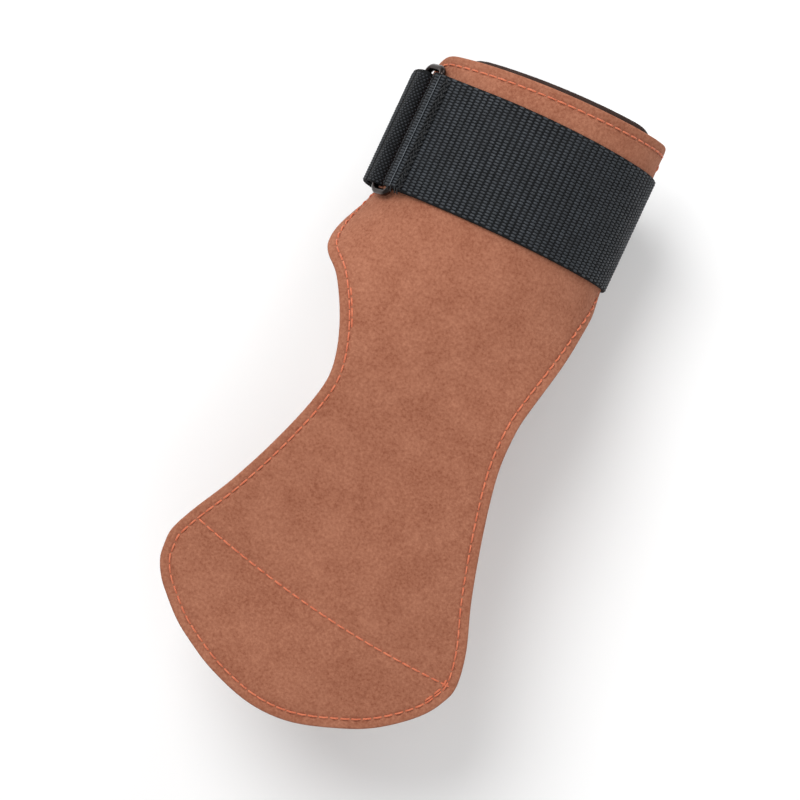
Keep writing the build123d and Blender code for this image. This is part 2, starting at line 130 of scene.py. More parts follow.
def mottle_group() -> bpy.types.NodeTree:
    """Group that mixes two colours in soft patches with a finer speckle over them."""
    tree, given, result = group_nodes(
        "soft_mottle",
        [
            ("Coordinates", "NodeSocketVector", None),
            ("Base", "NodeSocketColor", (0.5, 0.5, 0.5, 1)),
            ("Deep", "NodeSocketColor", (0.3, 0.3, 0.3, 1)),
            ("Light", "NodeSocketColor", (0.7, 0.7, 0.7, 1)),
            ("Patch Scale", "NodeSocketFloat", 90.0),
            ("Speckle Scale", "NodeSocketFloat", 900.0),
            ("Speckle", "NodeSocketFloat", 0.3),
        ],
        [("Colour", "NodeSocketColor"), ("Mask", "NodeSocketFloat")],
    )
    at = given.outputs

    def spread(value: bpy.types.NodeSocket, low: float, high: float) -> bpy.types.NodeSocket:
        """A value stretched so that low to high becomes 0 to 1."""
        return add_node(tree, "ShaderNodeMapRange", {"Value": value, "From Min": low,
                                                     "From Max": high}).outputs[0]

    def shade(factor, first: bpy.types.NodeSocket, second: bpy.types.NodeSocket) -> bpy.types.NodeSocket:
        """A mix of two colours."""
        return add_node(tree, "ShaderNodeMix", {"Factor": factor, 6: first, 7: second},
                        data_type="RGBA").outputs[2]

    mask = spread(noise(tree, at, "Patch Scale", 5.0, 0.62), 0.36, 0.66)
    fine = spread(noise(tree, at, "Speckle Scale", 4.0, 0.7), 0.3, 0.7)
    patched = shade(0.5, at["Base"], shade(mask, at["Deep"], at["Light"]))
    grain = shade(fine, at["Deep"], at["Light"])
    feed(tree, result, {"Colour": shade(at["Speckle"], patched, grain), "Mask": mask})
    return tree


def relief_group() -> bpy.types.NodeTree:
    """Group that gives a normal with a fine nap over broader creases."""
    tree, given, result = group_nodes(
        "fine_relief",
        [
            ("Coordinates", "NodeSocketVector", None),
            ("Fine Scale", "NodeSocketFloat", 2500.0),
            ("Broad Scale", "NodeSocketFloat", 300.0),
            ("Fine", "NodeSocketFloat", 0.4),
            ("Broad", "NodeSocketFloat", 0.3),
        ],
        [("Normal", "NodeSocketVector"), ("Height", "NodeSocketFloat")],
    )
    at = given.outputs
    crease_depth, nap_depth = 0.0006, 0.00015
    nap = noise(tree, at, "Fine Scale", 3.0, 0.6)
    creased = add_node(tree, "ShaderNodeBump", {"Strength": at["Broad"], "Distance": crease_depth,
                                                "Height": noise(tree, at, "Broad Scale", 4.0, 0.55)})
    whole = add_node(tree, "ShaderNodeBump", {"Strength": at["Fine"], "Distance": nap_depth,
                                              "Height": nap, "Normal": creased.outputs[0]})
    feed(tree, result, {"Normal": whole.outputs[0], "Height": nap})
    return tree


MOTTLE = mottle_group()
RELIEF = relief_group()


@dataclass(frozen=True)
class Finish:
    """A surface finish: three close shades, a nap, and how it takes the light."""

    name: str
    base: Colour
    deep: Colour
    light: Colour
    roughness: float
    patch_scale: float = 90.0
    speckle_scale: float = 900.0
    speckle: float = 0.3
    fine_scale: float = 2500.0
    fine: float = 0.4
    broad: float = 0.3
    metallic: float = 0.0
    sheen: float = 0.0
    sheen_tint: Colour = (1.0, 1.0, 1.0)
    specular: float = 0.3
    coat: float = 0.0

    def material(self) -> bpy.types.Material:
        """Builds the material of this finish."""
        made = bpy.data.materials.new(self.name)
        made.use_nodes = True
        tree = made.node_tree
        where = add_node(tree, "ShaderNodeTexCoord").outputs["Object"]
        mottle = add_node(tree, "ShaderNodeGroup", {
            "Coordinates": where, "Base": (*self.base, 1), "Deep": (*self.deep, 1), "Light": (*self.light, 1),
            "Patch Scale": self.patch_scale, "Speckle Scale": self.speckle_scale, "Speckle": self.speckle,
        }, node_tree=MOTTLE)
        relief = add_node(tree, "ShaderNodeGroup", {
            "Coordinates": where, "Fine Scale": self.fine_scale, "Fine": self.fine, "Broad": self.broad,
        }, node_tree=RELIEF)
        rough = add_node(tree, "ShaderNodeMapRange", {
            "Value": mottle.outputs["Mask"], "To Min": min(1.0, self.roughness + ROUGHNESS_SPREAD),
            "To Max": self.roughness - ROUGHNESS_SPREAD,
        })
        feed(tree, tree.nodes["Principled BSDF"], {
            "Base Color": mottle.outputs["Colour"], "Roughness": rough.outputs[0],
            "Normal": relief.outputs["Normal"], "Metallic": self.metallic,
            "Specular IOR Level": self.specular, "Sheen Weight": self.sheen,
            "Sheen Tint": (*self.sheen_tint, 1), "Coat Weight": self.coat,
        })
        return made


NUBUCK = Finish("nubuck_leather", linear(150, 93, 70), linear(122, 67, 47), linear(178, 121, 95), 0.9,
                patch_scale=110, speckle_scale=1150, speckle=0.62, fine=0.9, broad=0.35, sheen=0.2,
                sheen_tint=linear(225, 170, 140), specular=0.18)
FLESH_SIDE = Finish("flesh_side_leather", linear(132, 83, 61), linear(106, 63, 43), linear(156, 104, 80),
                    0.95, patch_scale=120, speckle_scale=1100, speckle=0.5, fine=0.8, broad=0.5, sheen=0.3,
                    sheen_tint=linear(210, 160, 130), specular=0.1)
NEOPRENE = Finish("pad_foam_skin", linear(52, 38, 34), linear(36, 26, 24), linear(68, 52, 46), 0.9,
                  patch_scale=200, speckle_scale=1800, speckle=0.5, fine=0.9, broad=0.2, specular=0.15)
KNIT = Finish("pad_knit_lining", linear(44, 40, 42), linear(28, 25, 27), linear(64, 58, 60), 0.92,
              speckle_scale=2400, speckle=0.7, fine_scale=3600, fine=1.0, sheen=0.35, specular=0.15)
WEB_GROUND = Finish("webbing_ground", linear(11, 12, 14), linear(5, 6, 7), linear(17, 19, 22), 0.88,
                    patch_scale=160, speckle_scale=2000, speckle=0.4, fine=0.8, broad=0.1, specular=0.25)
WEB_FLOAT = Finish("webbing_yarn", linear(30, 34, 39), linear(14, 17, 21), linear(58, 64, 71), 0.55,
                   patch_scale=220, speckle_scale=3000, speckle=0.45, fine_scale=5200, fine=0.7, broad=0.05,
                   specular=0.45)
WEB_FINE = replace(WEB_FLOAT, name="webbing_fine_yarn", base=linear(29, 33, 38), light=linear(56, 62, 69),
                   roughness=0.6)
# Pale grey for the yarns along the strap loop's folded edge: a painted highlight on the fold's crest.
WEB_EDGE_HIGHLIGHT = Finish("webbing_edge_highlight", linear(84, 89, 94), linear(54, 58, 63), linear(112, 117, 122), 0.75,
                  speckle_scale=3000, speckle=0.5, fine_scale=5200, fine=0.8, broad=0.05, specular=0.3)
TAPE = Finish("hook_and_loop_tape", linear(26, 26, 28), linear(14, 14, 16), linear(40, 40, 42), 0.9,
              speckle_scale=2600, speckle=0.6, fine_scale=3200, fine=1.0, sheen=0.2, specular=0.2)
GUNMETAL = Finish("ring_black_nickel", linear(34, 28, 27), linear(22, 19, 18), linear(66, 50, 44), 0.2,
                  patch_scale=260, speckle_scale=1500, speckle=0.2, fine=0.08, broad=0.04, metallic=1.0,
                  specular=0.5, coat=0.3)
ORANGE_THREAD = Finish("orange_thread", linear(208, 100, 62), linear(176, 76, 44), linear(228, 140, 100), 0.6,
                       patch_scale=500, speckle_scale=3500, speckle=0.4, fine_scale=6000, fine=0.9, broad=0.0,
                       specular=0.4, sheen=0.2)
BLACK_THREAD = Finish("black_thread", linear(20, 21, 23), linear(12, 12, 14), linear(40, 42, 44), 0.6,
                      speckle_scale=3500, speckle=0.5, fine_scale=6000, fine=0.9, specular=0.35)
PALE_FLOOR = Finish("pale_floor", (0.95, 0.95, 0.95), (0.94, 0.94, 0.94), (0.96, 0.96, 0.96), 0.9,
                    patch_scale=4, speckle=0.1, fine=0.0, broad=0.0, specular=0.1)


# ---------------------------------------------------------------- mesh building blocks

def new_piece(name: str, vertices: np.ndarray, faces: Sequence[Sequence[int]],
              material: bpy.types.Material, turn_out: bool = True) -> bpy.types.Object:
    """Makes a smooth mesh object at the origin.

    Args:
        name: the piece's name.
        vertices: its points in millimetres.
        faces: the corners of each face.
        material: its finish.
        turn_out: whether the normals are worked out again, on a closed mesh.

    Returns:
        The object, linked to the scene.
    """
    mesh = bpy.data.meshes.new(name)
    mesh.from_pydata((np.asarray(vertices) * MM).tolist(), [], [list(face) for face in faces])
    mesh.materials.append(material)
    if turn_out:
        shell = bmesh.new()
        shell.from_mesh(mesh)
        bmesh.ops.recalc_face_normals(shell, faces=shell.faces)
        shell.to_mesh(mesh)
        shell.free()
    mesh.shade_smooth()
    piece = bpy.data.objects.new(name, mesh)
    bpy.context.scene.collection.objects.link(piece)
    return piece


def tube_faces(loops: int, count: int) -> list[tuple]:
    """Quads of a tube of closed loops, with count vertices in each, numbered loop by loop."""
    faces = []
    for loop in range(loops - 1):
        first = np.arange(count) + loop * count
        following = np.roll(first, -1)
        faces += list(zip(first.tolist(), following.tolist(), (following + count).tolist(),
                          (first + count).tolist()))
    return faces


def edge_profile(radius: float, angles: Sequence[float]) -> list[tuple[float, float]]:
    """How far in and how far down a rounded edge is, at angles from its flat face."""
    return [(radius * (1 - sin(angle)), radius * (1 - cos(angle))) for angle in angles]


def quarter(centre: Sequence[float], radius: float, start: float, steps: int) -> list[tuple[float, float]]:
    """Points of a quarter turn of a corner, counter-clockwise."""
    return [(centre[0] + radius * cos(start + a), centre[1] + radius * sin(start + a))
            for a in np.linspace(0, pi / 2, steps + 1)]


def smooth_curve(stops: Sequence[tuple], steps: int = CURVE_STEPS) -> np.ndarray:
    """Points of a smooth curve through its stops.

    Args:
        stops: the points that it passes.
        steps: points made for each stretch.

    Returns:
        The curve's points, as rows of x and y.
    """
    given = np.array(stops, float)
    padded = np.vstack([2 * given[0] - given[1], given, 2 * given[-1] - given[-2]])
    made = []
    for before, start, end, after in zip(padded, padded[1:], padded[2:], padded[3:]):
        share = np.linspace(0, 1, steps, endpoint=False)[:, None]
        made.append(0.5 * (2 * start + (end - before) * share
                           + (2 * before - 5 * start + 4 * end - after) * share**2
                           + (3 * start - before - 3 * end + after) * share**3))
    return np.vstack([*made, given[-1:]])


def run_along(line: np.ndarray) -> np.ndarray:
    """Length along the line from its start to each of its points."""
    return np.concatenate([[0], np.cumsum(np.linalg.norm(np.diff(line, axis=0), axis=1))])


def read_off(wanted: np.ndarray, run: np.ndarray, rows: np.ndarray) -> np.ndarray:
    """Rows read off at the wanted lengths, where run holds the length that each row is at."""
    return np.column_stack([np.interp(wanted, run, column) for column in rows.T])


def even_points(line: np.ndarray, count: int) -> np.ndarray:
    """The line's points spaced again into count equal steps, both ends kept."""
    run = run_along(line)
    return read_off(np.linspace(0, run[-1], count + 1), run, line)


def unit(rows: np.ndarray) -> np.ndarray:
    """Rows scaled to a length of one."""
    return rows / np.linalg.norm(rows, axis=-1, keepdims=True)


def left_of(rows: np.ndarray) -> np.ndarray:
    """Directions a quarter turn to the left of the given ones."""
    return np.column_stack([-rows[:, 1], rows[:, 0]])


def flanks(loop: np.ndarray) -> np.ndarray:
    """Directions to the left of a closed, counter-clockwise loop, which are its inward ones."""
    return left_of(unit(np.roll(loop, -1, axis=0) - np.roll(loop, 1, axis=0)))


def eased(share: np.ndarray) -> np.ndarray:
    """A share from 0 to 1 with a soft start and end."""
    return share * share * (3 - 2 * share)


class Shape(Enum):
    """What is laid on each point of a row or a weave."""

    STITCH = "stitch"
    FLOAT = "float"
    HOOK = "hook"


def laying_tree(shape: Shape) -> bpy.types.NodeTree:
    """Geometry Nodes tree that lays one small shape on each point, turned by the point's own directions.

    Args:
        shape: the small shape.

    Returns:
        The tree, with inputs Length, Width, Height, Seed, Unevenness and Finish.
    """
    tree = bpy.data.node_groups.new(f"lay_{shape.value}", "GeometryNodeTree")
    face = tree.interface
    face.new_socket("Geometry", in_out="INPUT", socket_type="NodeSocketGeometry")
    for label in ("Length", "Width", "Height", "Unevenness"):
        face.new_socket(label, in_out="INPUT", socket_type="NodeSocketFloat")
    face.new_socket("Seed", in_out="INPUT", socket_type="NodeSocketInt")
    face.new_socket("Finish", in_out="INPUT", socket_type="NodeSocketMaterial")
    face.new_socket("Geometry", in_out="OUTPUT", socket_type="NodeSocketGeometry")
    given = tree.nodes.new("NodeGroupInput").outputs
    result = tree.nodes.new("NodeGroupOutput")

    def maths(operation: str, first, second) -> bpy.types.NodeSocket:
        """Output of a Math node."""
        return add_node(tree, "ShaderNodeMath", {0: first, 1: second}, operation=operation).outputs[0]

    def joined(x, y, z) -> bpy.types.NodeSocket:
        """A vector from three numbers."""
        return add_node(tree, "ShaderNodeCombineXYZ", {0: x, 1: y, 2: z}).outputs[0]

    half = maths("MULTIPLY", given["Length"], 0.5)
    if shape is Shape.FLOAT:
        ball = add_node(tree, "GeometryNodeMeshUVSphere", {"Segments": 6, "Rings": 4, "Radius": 1.0})
        size = joined(half, maths("MULTIPLY", given["Width"], 0.5), given["Height"])
        item = add_node(tree, "GeometryNodeTransform", {"Geometry": ball.outputs[0],
                                                        "Scale": size}).outputs[0]
    else:
        lift = 2.0 if shape is Shape.STITCH else 3.2
        low = maths("MULTIPLY", given["Height"], -0.5)
        line = add_node(tree, "GeometryNodeCurveQuadraticBezier", {
            "Resolution": 6,
            "Start": joined(maths("MULTIPLY", half, -1.0), 0.0, low),
            "Middle": joined(0.0, 0.0, maths("MULTIPLY", given["Height"], lift)),
            "End": joined(half, 0.0, low),
        })
        ring = add_node(tree, "GeometryNodeCurvePrimitiveCircle", {"Resolution": 6})
        tree.links.new(maths("MULTIPLY", given["Width"], 0.5), ring.inputs["Radius"])
        item = add_node(tree, "GeometryNodeCurveToMesh", {"Curve": line.outputs[0],
                                                          "Profile Curve": ring.outputs[0],
                                                          "Fill Caps": True}).outputs[0]
    out = add_node(tree, "GeometryNodeInputNamedAttribute", {"Name": "out"}, data_type="FLOAT_VECTOR")
    along = add_node(tree, "GeometryNodeInputNamedAttribute", {"Name": "along"}, data_type="FLOAT_VECTOR")
    stand = add_node(tree, "FunctionNodeAlignRotationToVector", {"Vector": out.outputs[0]}, axis="Z")
    turned = add_node(tree, "FunctionNodeAlignRotationToVector", {"Rotation": stand.outputs[0],
                                                                  "Vector": along.outputs[0]},
                      axis="X", pivot_axis="Z")
    least = maths("SUBTRACT", 1.0, given["Unevenness"])
    most = maths("ADD", 1.0, given["Unevenness"])
    vary = add_node(tree, "FunctionNodeRandomValue", {"Seed": given["Seed"]}, data_type="FLOAT_VECTOR")
    tree.links.new(joined(least, least, least), vary.inputs[0])
    tree.links.new(joined(most, most, most), vary.inputs[1])
    laid = add_node(tree, "GeometryNodeInstanceOnPoints", {"Points": given["Geometry"], "Instance": item,
                                                           "Rotation": turned.outputs[0],
                                                           "Scale": vary.outputs[0]})
    real = add_node(tree, "GeometryNodeRealizeInstances", {"Geometry": laid.outputs[0]})
    smooth = add_node(tree, "GeometryNodeSetShadeSmooth", {"Geometry": real.outputs[0]})
    dressed = add_node(tree, "GeometryNodeSetMaterial", {"Geometry": smooth.outputs[0],
                                                         "Material": given["Finish"]})
    tree.links.new(dressed.outputs[0], result.inputs[0])
    return tree


LAYING = {shape: laying_tree(shape) for shape in Shape}


@dataclass
class Places:
    """Where small shapes lie: points, the way each one runs and the way it faces, in millimetres."""

    at: np.ndarray
    along: np.ndarray
    out: np.ndarray

    def lay(self, name: str, shape: Shape, size: tuple[float, float, float], material: bpy.types.Material,
            unevenness: float = 0.06, seed: int = 3) -> bpy.types.Object:
        """Lays a small shape on every point, as one plain mesh.

        Args:
            name: the piece's name.
            shape: what is laid.
            size: its length, width and height in millimetres.
            material: its finish.
            unevenness: how much the shapes vary in size.
            seed: the variation's seed.

        Returns:
            The finished object.
        """
        points = bpy.data.meshes.new(f"{name}_points")
        points.from_pydata((self.at * MM).tolist(), [], [])
        for label, rows in (("along", self.along), ("out", self.out)):
            store = points.attributes.new(label, "FLOAT_VECTOR", "POINT")
            store.data.foreach_set("vector", np.ascontiguousarray(rows, dtype=np.float32).ravel())
        carrier = bpy.data.objects.new(f"{name}_points", points)
        bpy.context.scene.collection.objects.link(carrier)
        layer = carrier.modifiers.new("laying", "NODES")
        layer.node_group = LAYING[shape]
        values = {"Length": size[0] * MM, "Width": size[1] * MM, "Height": size[2] * MM,
                  "Unevenness": unevenness, "Seed": seed, "Finish": material}
        for item in layer.node_group.interface.items_tree:
            if item.in_out == "INPUT" and item.name in values:
                layer[item.identifier] = values[item.name]
        graph = bpy.context.evaluated_depsgraph_get()
        mesh = bpy.data.meshes.new_from_object(carrier.evaluated_get(graph))
        carrier.modifiers.remove(layer)
        bpy.data.objects.remove(carrier)
        mesh.name = name
        if not mesh.materials:
            mesh.materials.append(material)
        piece = bpy.data.objects.new(name, mesh)
        bpy.context.scene.collection.objects.link(piece)
        return piece


# ---------------------------------------------------------------- the wrist's oval

@dataclass(frozen=True)
class WristOval:
    """The wrist opening: a long arc in front, a round arc at each side, and a rounder back for the strap."""

    half_width: float = 31.0
    half_height: float = 21.5
    side_radius: float = 15.0
    back_half_height: float = 30.5
    back_side_radius: float = 16.0
    strap_in: float = 7.65

    @property
    def side_x(self) -> float:
        """Distance of the side arcs' centres from the middle."""
        return self.half_width - self.side_radius

    @property
    def front_radius(self) -> float:
        """Radius of the front arc."""
        rise = self.half_height - self.side_radius
        return (self.side_x**2 + self.half_height**2 - self.side_radius**2) / (2 * rise)

    @property
    def front_z(self) -> float:
        """Height of the front arc's centre."""
        return self.half_height - self.front_radius

    @property
    def turn(self) -> float:
        """Angle from upright at which the front arc becomes the side arc."""
        return atan2(self.side_x, -self.front_z)

    @property
    def back_x(self) -> float:
        """Distance of the back's side arcs' centres from the middle."""
        return self.half_width + self.strap_in - self.back_side_radius

    @property
    def back_radius(self) -> float:
        """Radius of the strap's back arc."""
        rise = self.back_half_height - self.back_side_radius
        return (self.back_x**2 + self.back_half_height**2 - self.back_side_radius**2) / (2 * rise)

    @property
    def back_turn(self) -> float:
        """Angle from straight down at which the back arc becomes the side arc."""
        return atan2(self.back_x, self.back_radius - self.back_half_height)

    def arc(self, centre: tuple[float, float], radius: float, start: float, end: float,
            step: float = 0.9) -> np.ndarray:
        """Points of an arc in the XZ plane, with its angles in radians from +X."""
        count = max(3, int(abs(end - start) * radius / step))
        angle = np.linspace(start, end, count + 1)
        return np.column_stack([centre[0] + radius * np.cos(angle), centre[1] + radius * np.sin(angle)])

    def front(self, offset: float, thumb: float, little: float) -> np.ndarray:
        """Front line at an offset, between two angles from the crown in radians, thumb side first."""
        parts = [
            self.arc((-self.side_x, 0), self.side_radius + offset, pi / 2 + thumb, pi / 2 + self.turn),
            self.arc((0, self.front_z), self.front_radius + offset, pi / 2 + self.turn, pi / 2 - self.turn),
            self.arc((self.side_x, 0), self.side_radius + offset, pi / 2 - self.turn, pi / 2 - little),
        ]
        return np.vstack([parts[0][:-1], parts[1][:-1], parts[2]])

    def back(self, offset: float, little: float, thumb: float) -> np.ndarray:
        """Back line at an offset, from an angle past the lowest point to an angle from the crown."""
        behind = offset - self.strap_in
        centre = (0, self.back_radius - self.back_half_height)
        down = 1.5 * pi
        side_radius = self.back_side_radius + behind
        parts = []
        if little > self.back_turn:
            parts.append(self.arc((self.back_x, 0), side_radius, 0, self.back_turn - pi / 2))
            little = self.back_turn
        parts.append(self.arc(centre, self.back_radius + behind, down + little, down - self.back_turn))
        parts.append(self.arc((-self.back_x, 0), side_radius, down - self.back_turn, pi))
        parts.append(self.arc((-self.side_x, 0), self.side_radius + offset, pi, pi / 2 + thumb))
        return np.vstack([*[part[:-1] for part in parts[:-1]], parts[-1]])


OVAL = WristOval()


@dataclass
class Band:
    """A flat strip that runs along a line in the XZ plane and is as wide as its run along the forearm."""

    line: np.ndarray
    thickness: float
    low_y: float
    high_y: float
    edge: float = 0.45
    step: float = 0.9

    def __post_init__(self) -> None:
        """Evens out the line's points and works out its directions."""
        self.line = even_points(self.line, max(4, int(self.length() / self.step)))
        self.direction = unit(np.gradient(self.line, axis=0))
        self.normal = left_of(self.direction)

    def length(self) -> float:
        """Length of the line in millimetres."""
        return float(np.linalg.norm(np.diff(self.line, axis=0), axis=1).sum())

    def section(self) -> np.ndarray:
        """Rounded outline across the strip: places along Y and out of its middle plane."""
        half = self.thickness / 2
        soft = min(self.edge, half * 0.98)
        rise, fall = np.linspace(pi / 2, 0, 4)[:-1], np.linspace(0, pi / 2, 4)[1:]
        outer = [(self.low_y + inset, half - down) for inset, down in edge_profile(soft, rise)]
        outer += [(y, half) for y in np.linspace(self.low_y + soft, self.high_y - soft, 24)]
        outer += [(self.high_y - inset, half - down) for inset, down in edge_profile(soft, fall)]
        return np.array(outer + [(y, -out) for y, out in reversed(outer)])

    def mesh(self, name: str, material: bpy.types.Material) -> bpy.types.Object:
        """The strip as a closed mesh."""
        section = self.section()
        count, around = len(self.line), len(section)
        rows = []
        for place, out in zip(self.line, self.normal):
            flat = place + section[:, 1:2] * out
            rows.append(np.column_stack([flat[:, 0], section[:, 0], flat[:, 1]]))
        faces = tube_faces(count, around)
        for base in (0, (count - 1) * around):
            for k in range(around // 2 - 1):
                faces.append((base + k, base + k + 1, base + around - 2 - k, base + around - 1 - k))
        return new_piece(name, np.vstack(rows), faces, material)

    def weave(self, pitch_along: float, pitch_across: float, side: float = 1.0, margin: float = 0.7,
              columns: bool = False) -> Places:
        """Staggered places all over one face of the strip.

        Args:
            pitch_along: distance between neighbours along the strip.
            pitch_across: distance between rows across it.
            side: 1 for the outer face, -1 for the inner one.
            margin: what is left free along each edge.
            columns: whether the places stand in straight columns across the strip, not in brick rows.

        Returns:
            The places, running along the strip.
        """
        run = run_along(self.line)
        stations = np.arange(pitch_along, run[-1] - 0.9 * pitch_along, pitch_along)
        across = np.arange(self.low_y + margin, self.high_y - margin / 2 - pitch_across / 2, pitch_across)
        column, row = np.meshgrid(np.arange(len(stations)), np.arange(len(across)))
        place = (stations[column] - (0.0 if columns else 0.5) * pitch_along * (row % 2)).ravel()
        y = (across[row] + (0.5 if columns else 0.0) * pitch_across * (column % 2)).ravel()
        ahead = read_off(place, run, self.direction)
        up = left_of(ahead) * side
        flat = read_off(place, run, self.line) + up * self.thickness / 2
        zero = np.zeros(len(place))
        return Places(*[np.column_stack([rows[:, 0], middle, rows[:, 1]])
                        for rows, middle in ((flat, y), (ahead, zero), (up, zero))])


# ---------------------------------------------------------------- the leather

@dataclass
class Hide:
    """The palm leather: cuff, heel, palm and fan, cut as one sheet with a backing glued behind it.

    Sheet coordinates run in millimetres across the leather from the crown line and along the forearm.
    """

    thumb_top_y: float = 26.5
    little_top_y: float = 29.9
    bend_start: float = -17.0
    flat_skew: float = 4.0
    strap_edge_y: float = -19.0
    flat_y: float = -72.0
    crown_z: float = 29.05
    waist_z: float = 27.15
    waist_y: float = -73.5
    palm_slope: float = radians(3.0)
    finger_rise: float = radians(4.0)
    thumb_reach: float = 46.8
    little_reach: float = 53.1
    face_thickness: float = 1.75
    backing_thickness: float = 1.35
    layer_gap: float = 0.08
    row_inset: float = 3.0
    strap_cover: float = 20.2
    strap_sink: float = 0.64
    middle_inset: float = 9.0
    across: int = 64
    lengthwise: int = 184
    split_row: int = 118
    seam_origin: tuple[float, float] = (2.7, -76.0)
    seam_turn: float = radians(-9.0)
    seam_distance: float = 69.5
    seam_away: tuple[float, float, float] = (-0.15643, -0.98769, -0.03)
    finger_blend: float = 4.0
    waist_reach: float = 14.0
    seam_reach: float = 11.0
    thumb_corner: float = 9.0
    little_corner: float = 4.3
    corner_steps: int = 6
    edge_radius: float = 0.55
    rim_swell: float = 0.06
    front_insets: tuple = (3.9, 3.55, 3.25, 3.0, 2.75, 2.4, 2.0, 1.5, 1.0)
    back_insets: tuple = (1.2, 2.4, 3.9)
    second_row: float = 0.75
    seam_ends: tuple[float, float] = (-37.2, 54.6)
    slow_ripple: float = 0.55
    quick_ripple: float = 0.35
    cupping: float = 0.00075
    heel_skip: int = 4
    pitch: float = 3.3
    stitch: tuple[float, float, float] = (2.45, 0.62, 0.4)
    outer_radius: tuple[float, float] = (45.49, 22.55)
    thumb_side: tuple = ((-41.2, -23.0), (-43.6, -41.0), (-37.3, -49.6), (-30.6, -62.0), (-26.6, -75.5),
                         (-27.6, -86.5), (-33.0, -103.3), (-39.9, -119.7), (-47.3, -133.9))
    fan: tuple = ((-50.6, -142.5), (-50.1, -149.5), (-47.0, -155.5), (-43.4, -159.4), (-37.3, -165.2),
                  (-31.0, -169.3), (-21.6, -174.2), (-7.0, -178.6), (7.0, -178.6), (22.0, -174.0),
                  (31.6, -169.4), (40.6, -162.4), (45.4, -156.8), (48.0, -151.6))
    little_side: tuple = ((48.4, -146.0), (46.4, -136.3), (41.3, -121.8), (35.7, -101.1), (32.3, -84.0),
                          (31.9, -72.0), (33.0, -63.5), (36.2, -49.5), (38.6, -35.0), (39.0, -23.0))

    def bend_share(self, x: np.ndarray, y: np.ndarray) -> np.ndarray:
        """How much of the cuff's bend is left at a place, 1 to 0; it is gone earlier on the thumb side."""
        skew_width = 12
        flat = self.flat_y - self.flat_skew * np.tanh(x / skew_width)
        return 1 - eased(np.clip((self.bend_start - y) / (self.bend_start - flat), 0, 1))

    def seam_run(self, x: np.ndarray, y: np.ndarray) -> tuple[np.ndarray, np.ndarray]:
        """Places in the flap's own frame: along the cross seam, and away from the waist."""
        dx, dy = x - self.seam_origin[0], y - self.seam_origin[1]
        c, s = cos(self.seam_turn), sin(self.seam_turn)
        return dx * c + dy * s, dx * s - dy * c

    def crown(self, x: np.ndarray, y: np.ndarray) -> np.ndarray:
        """Height of the leather's crown line: down to the waist, down the palm and up at the fingers."""
        towards = eased(np.clip((self.strap_edge_y - y) / (self.strap_edge_y - self.waist_y), 0, 1))
        height = self.crown_z + (self.waist_z - self.crown_z) * towards
        height = height + np.minimum(y - self.waist_y, 0) * tan(self.palm_slope)
        _, away = self.seam_run(x, y)
        beyond = np.logaddexp(0, (away - self.seam_distance) / self.finger_blend) * self.finger_blend
        return height + beyond * tan(self.finger_rise)

    def point(self, x: np.ndarray, y: np.ndarray, depth: np.ndarray | float) -> np.ndarray:
        """Points of the leather in space, at a depth under its front face."""
        def face(px: np.ndarray, py: np.ndarray) -> np.ndarray:
            """Front face."""
            share = np.maximum(self.bend_share(px, py), 1e-4)
            first, second = share / self.outer_radius[0], share / self.outer_radius[1]
            reach = self.outer_radius[0] * OVAL.turn
            run = np.abs(px)
            turn_in = first * np.minimum(run, reach)
            turn_all = turn_in + second * np.maximum(run - reach, 0)
            wide = np.sin(turn_in) / first + (np.sin(turn_all) - np.sin(turn_in)) / second
            drop = (1 - np.cos(turn_in)) / first + (np.cos(turn_in) - np.cos(turn_all)) / second
            flap = 1 - self.bend_share(px, py)
            ripple = self.slow_ripple * np.sin(px / 17.0 + 0.6) * np.cos(py / 26.0 + 0.4)
            ripple += self.quick_ripple * np.sin(px / 9.5 - py / 21.0)
            ripple -= self.cupping * (px - 1.0) ** 2
            return np.stack([np.sign(px) * wide, py, self.crown(px, py) - drop + flap * ripple], axis=-1)

        step = 0.05
        across = face(x + step, y) - face(x - step, y)
        lengthwise = face(x, y + step) - face(x, y - step)
        return face(x, y) - unit(np.cross(across, lengthwise)) * np.asarray(depth)[..., None]

    def sheet_x(self, x: float, y: float) -> float:
        """Sheet coordinate whose point is seen at x from the front, at that place along the forearm."""
        farthest, tries = 58, 400
        runs = np.linspace(0, farthest, tries)
        seen = self.point(runs, np.full(tries, y), np.zeros(tries))[:, 0]
        last = int(np.argmax(seen))
        return float(np.sign(x) * np.interp(abs(x), seen[: last + 1], runs[: last + 1]))

    def outline(self) -> tuple[np.ndarray, np.ndarray]:
        """Closed cut line in sheet coordinates, and its inward directions.

        Returns:
            The points, thumb side first, then the fan, the little side and the top edge; and the directions.
        """
        def sheet(points: Sequence[tuple]) -> list[tuple]:
            """Points seen from the front, in sheet coordinates."""
            return [(self.sheet_x(x, y), y) for x, y in points]

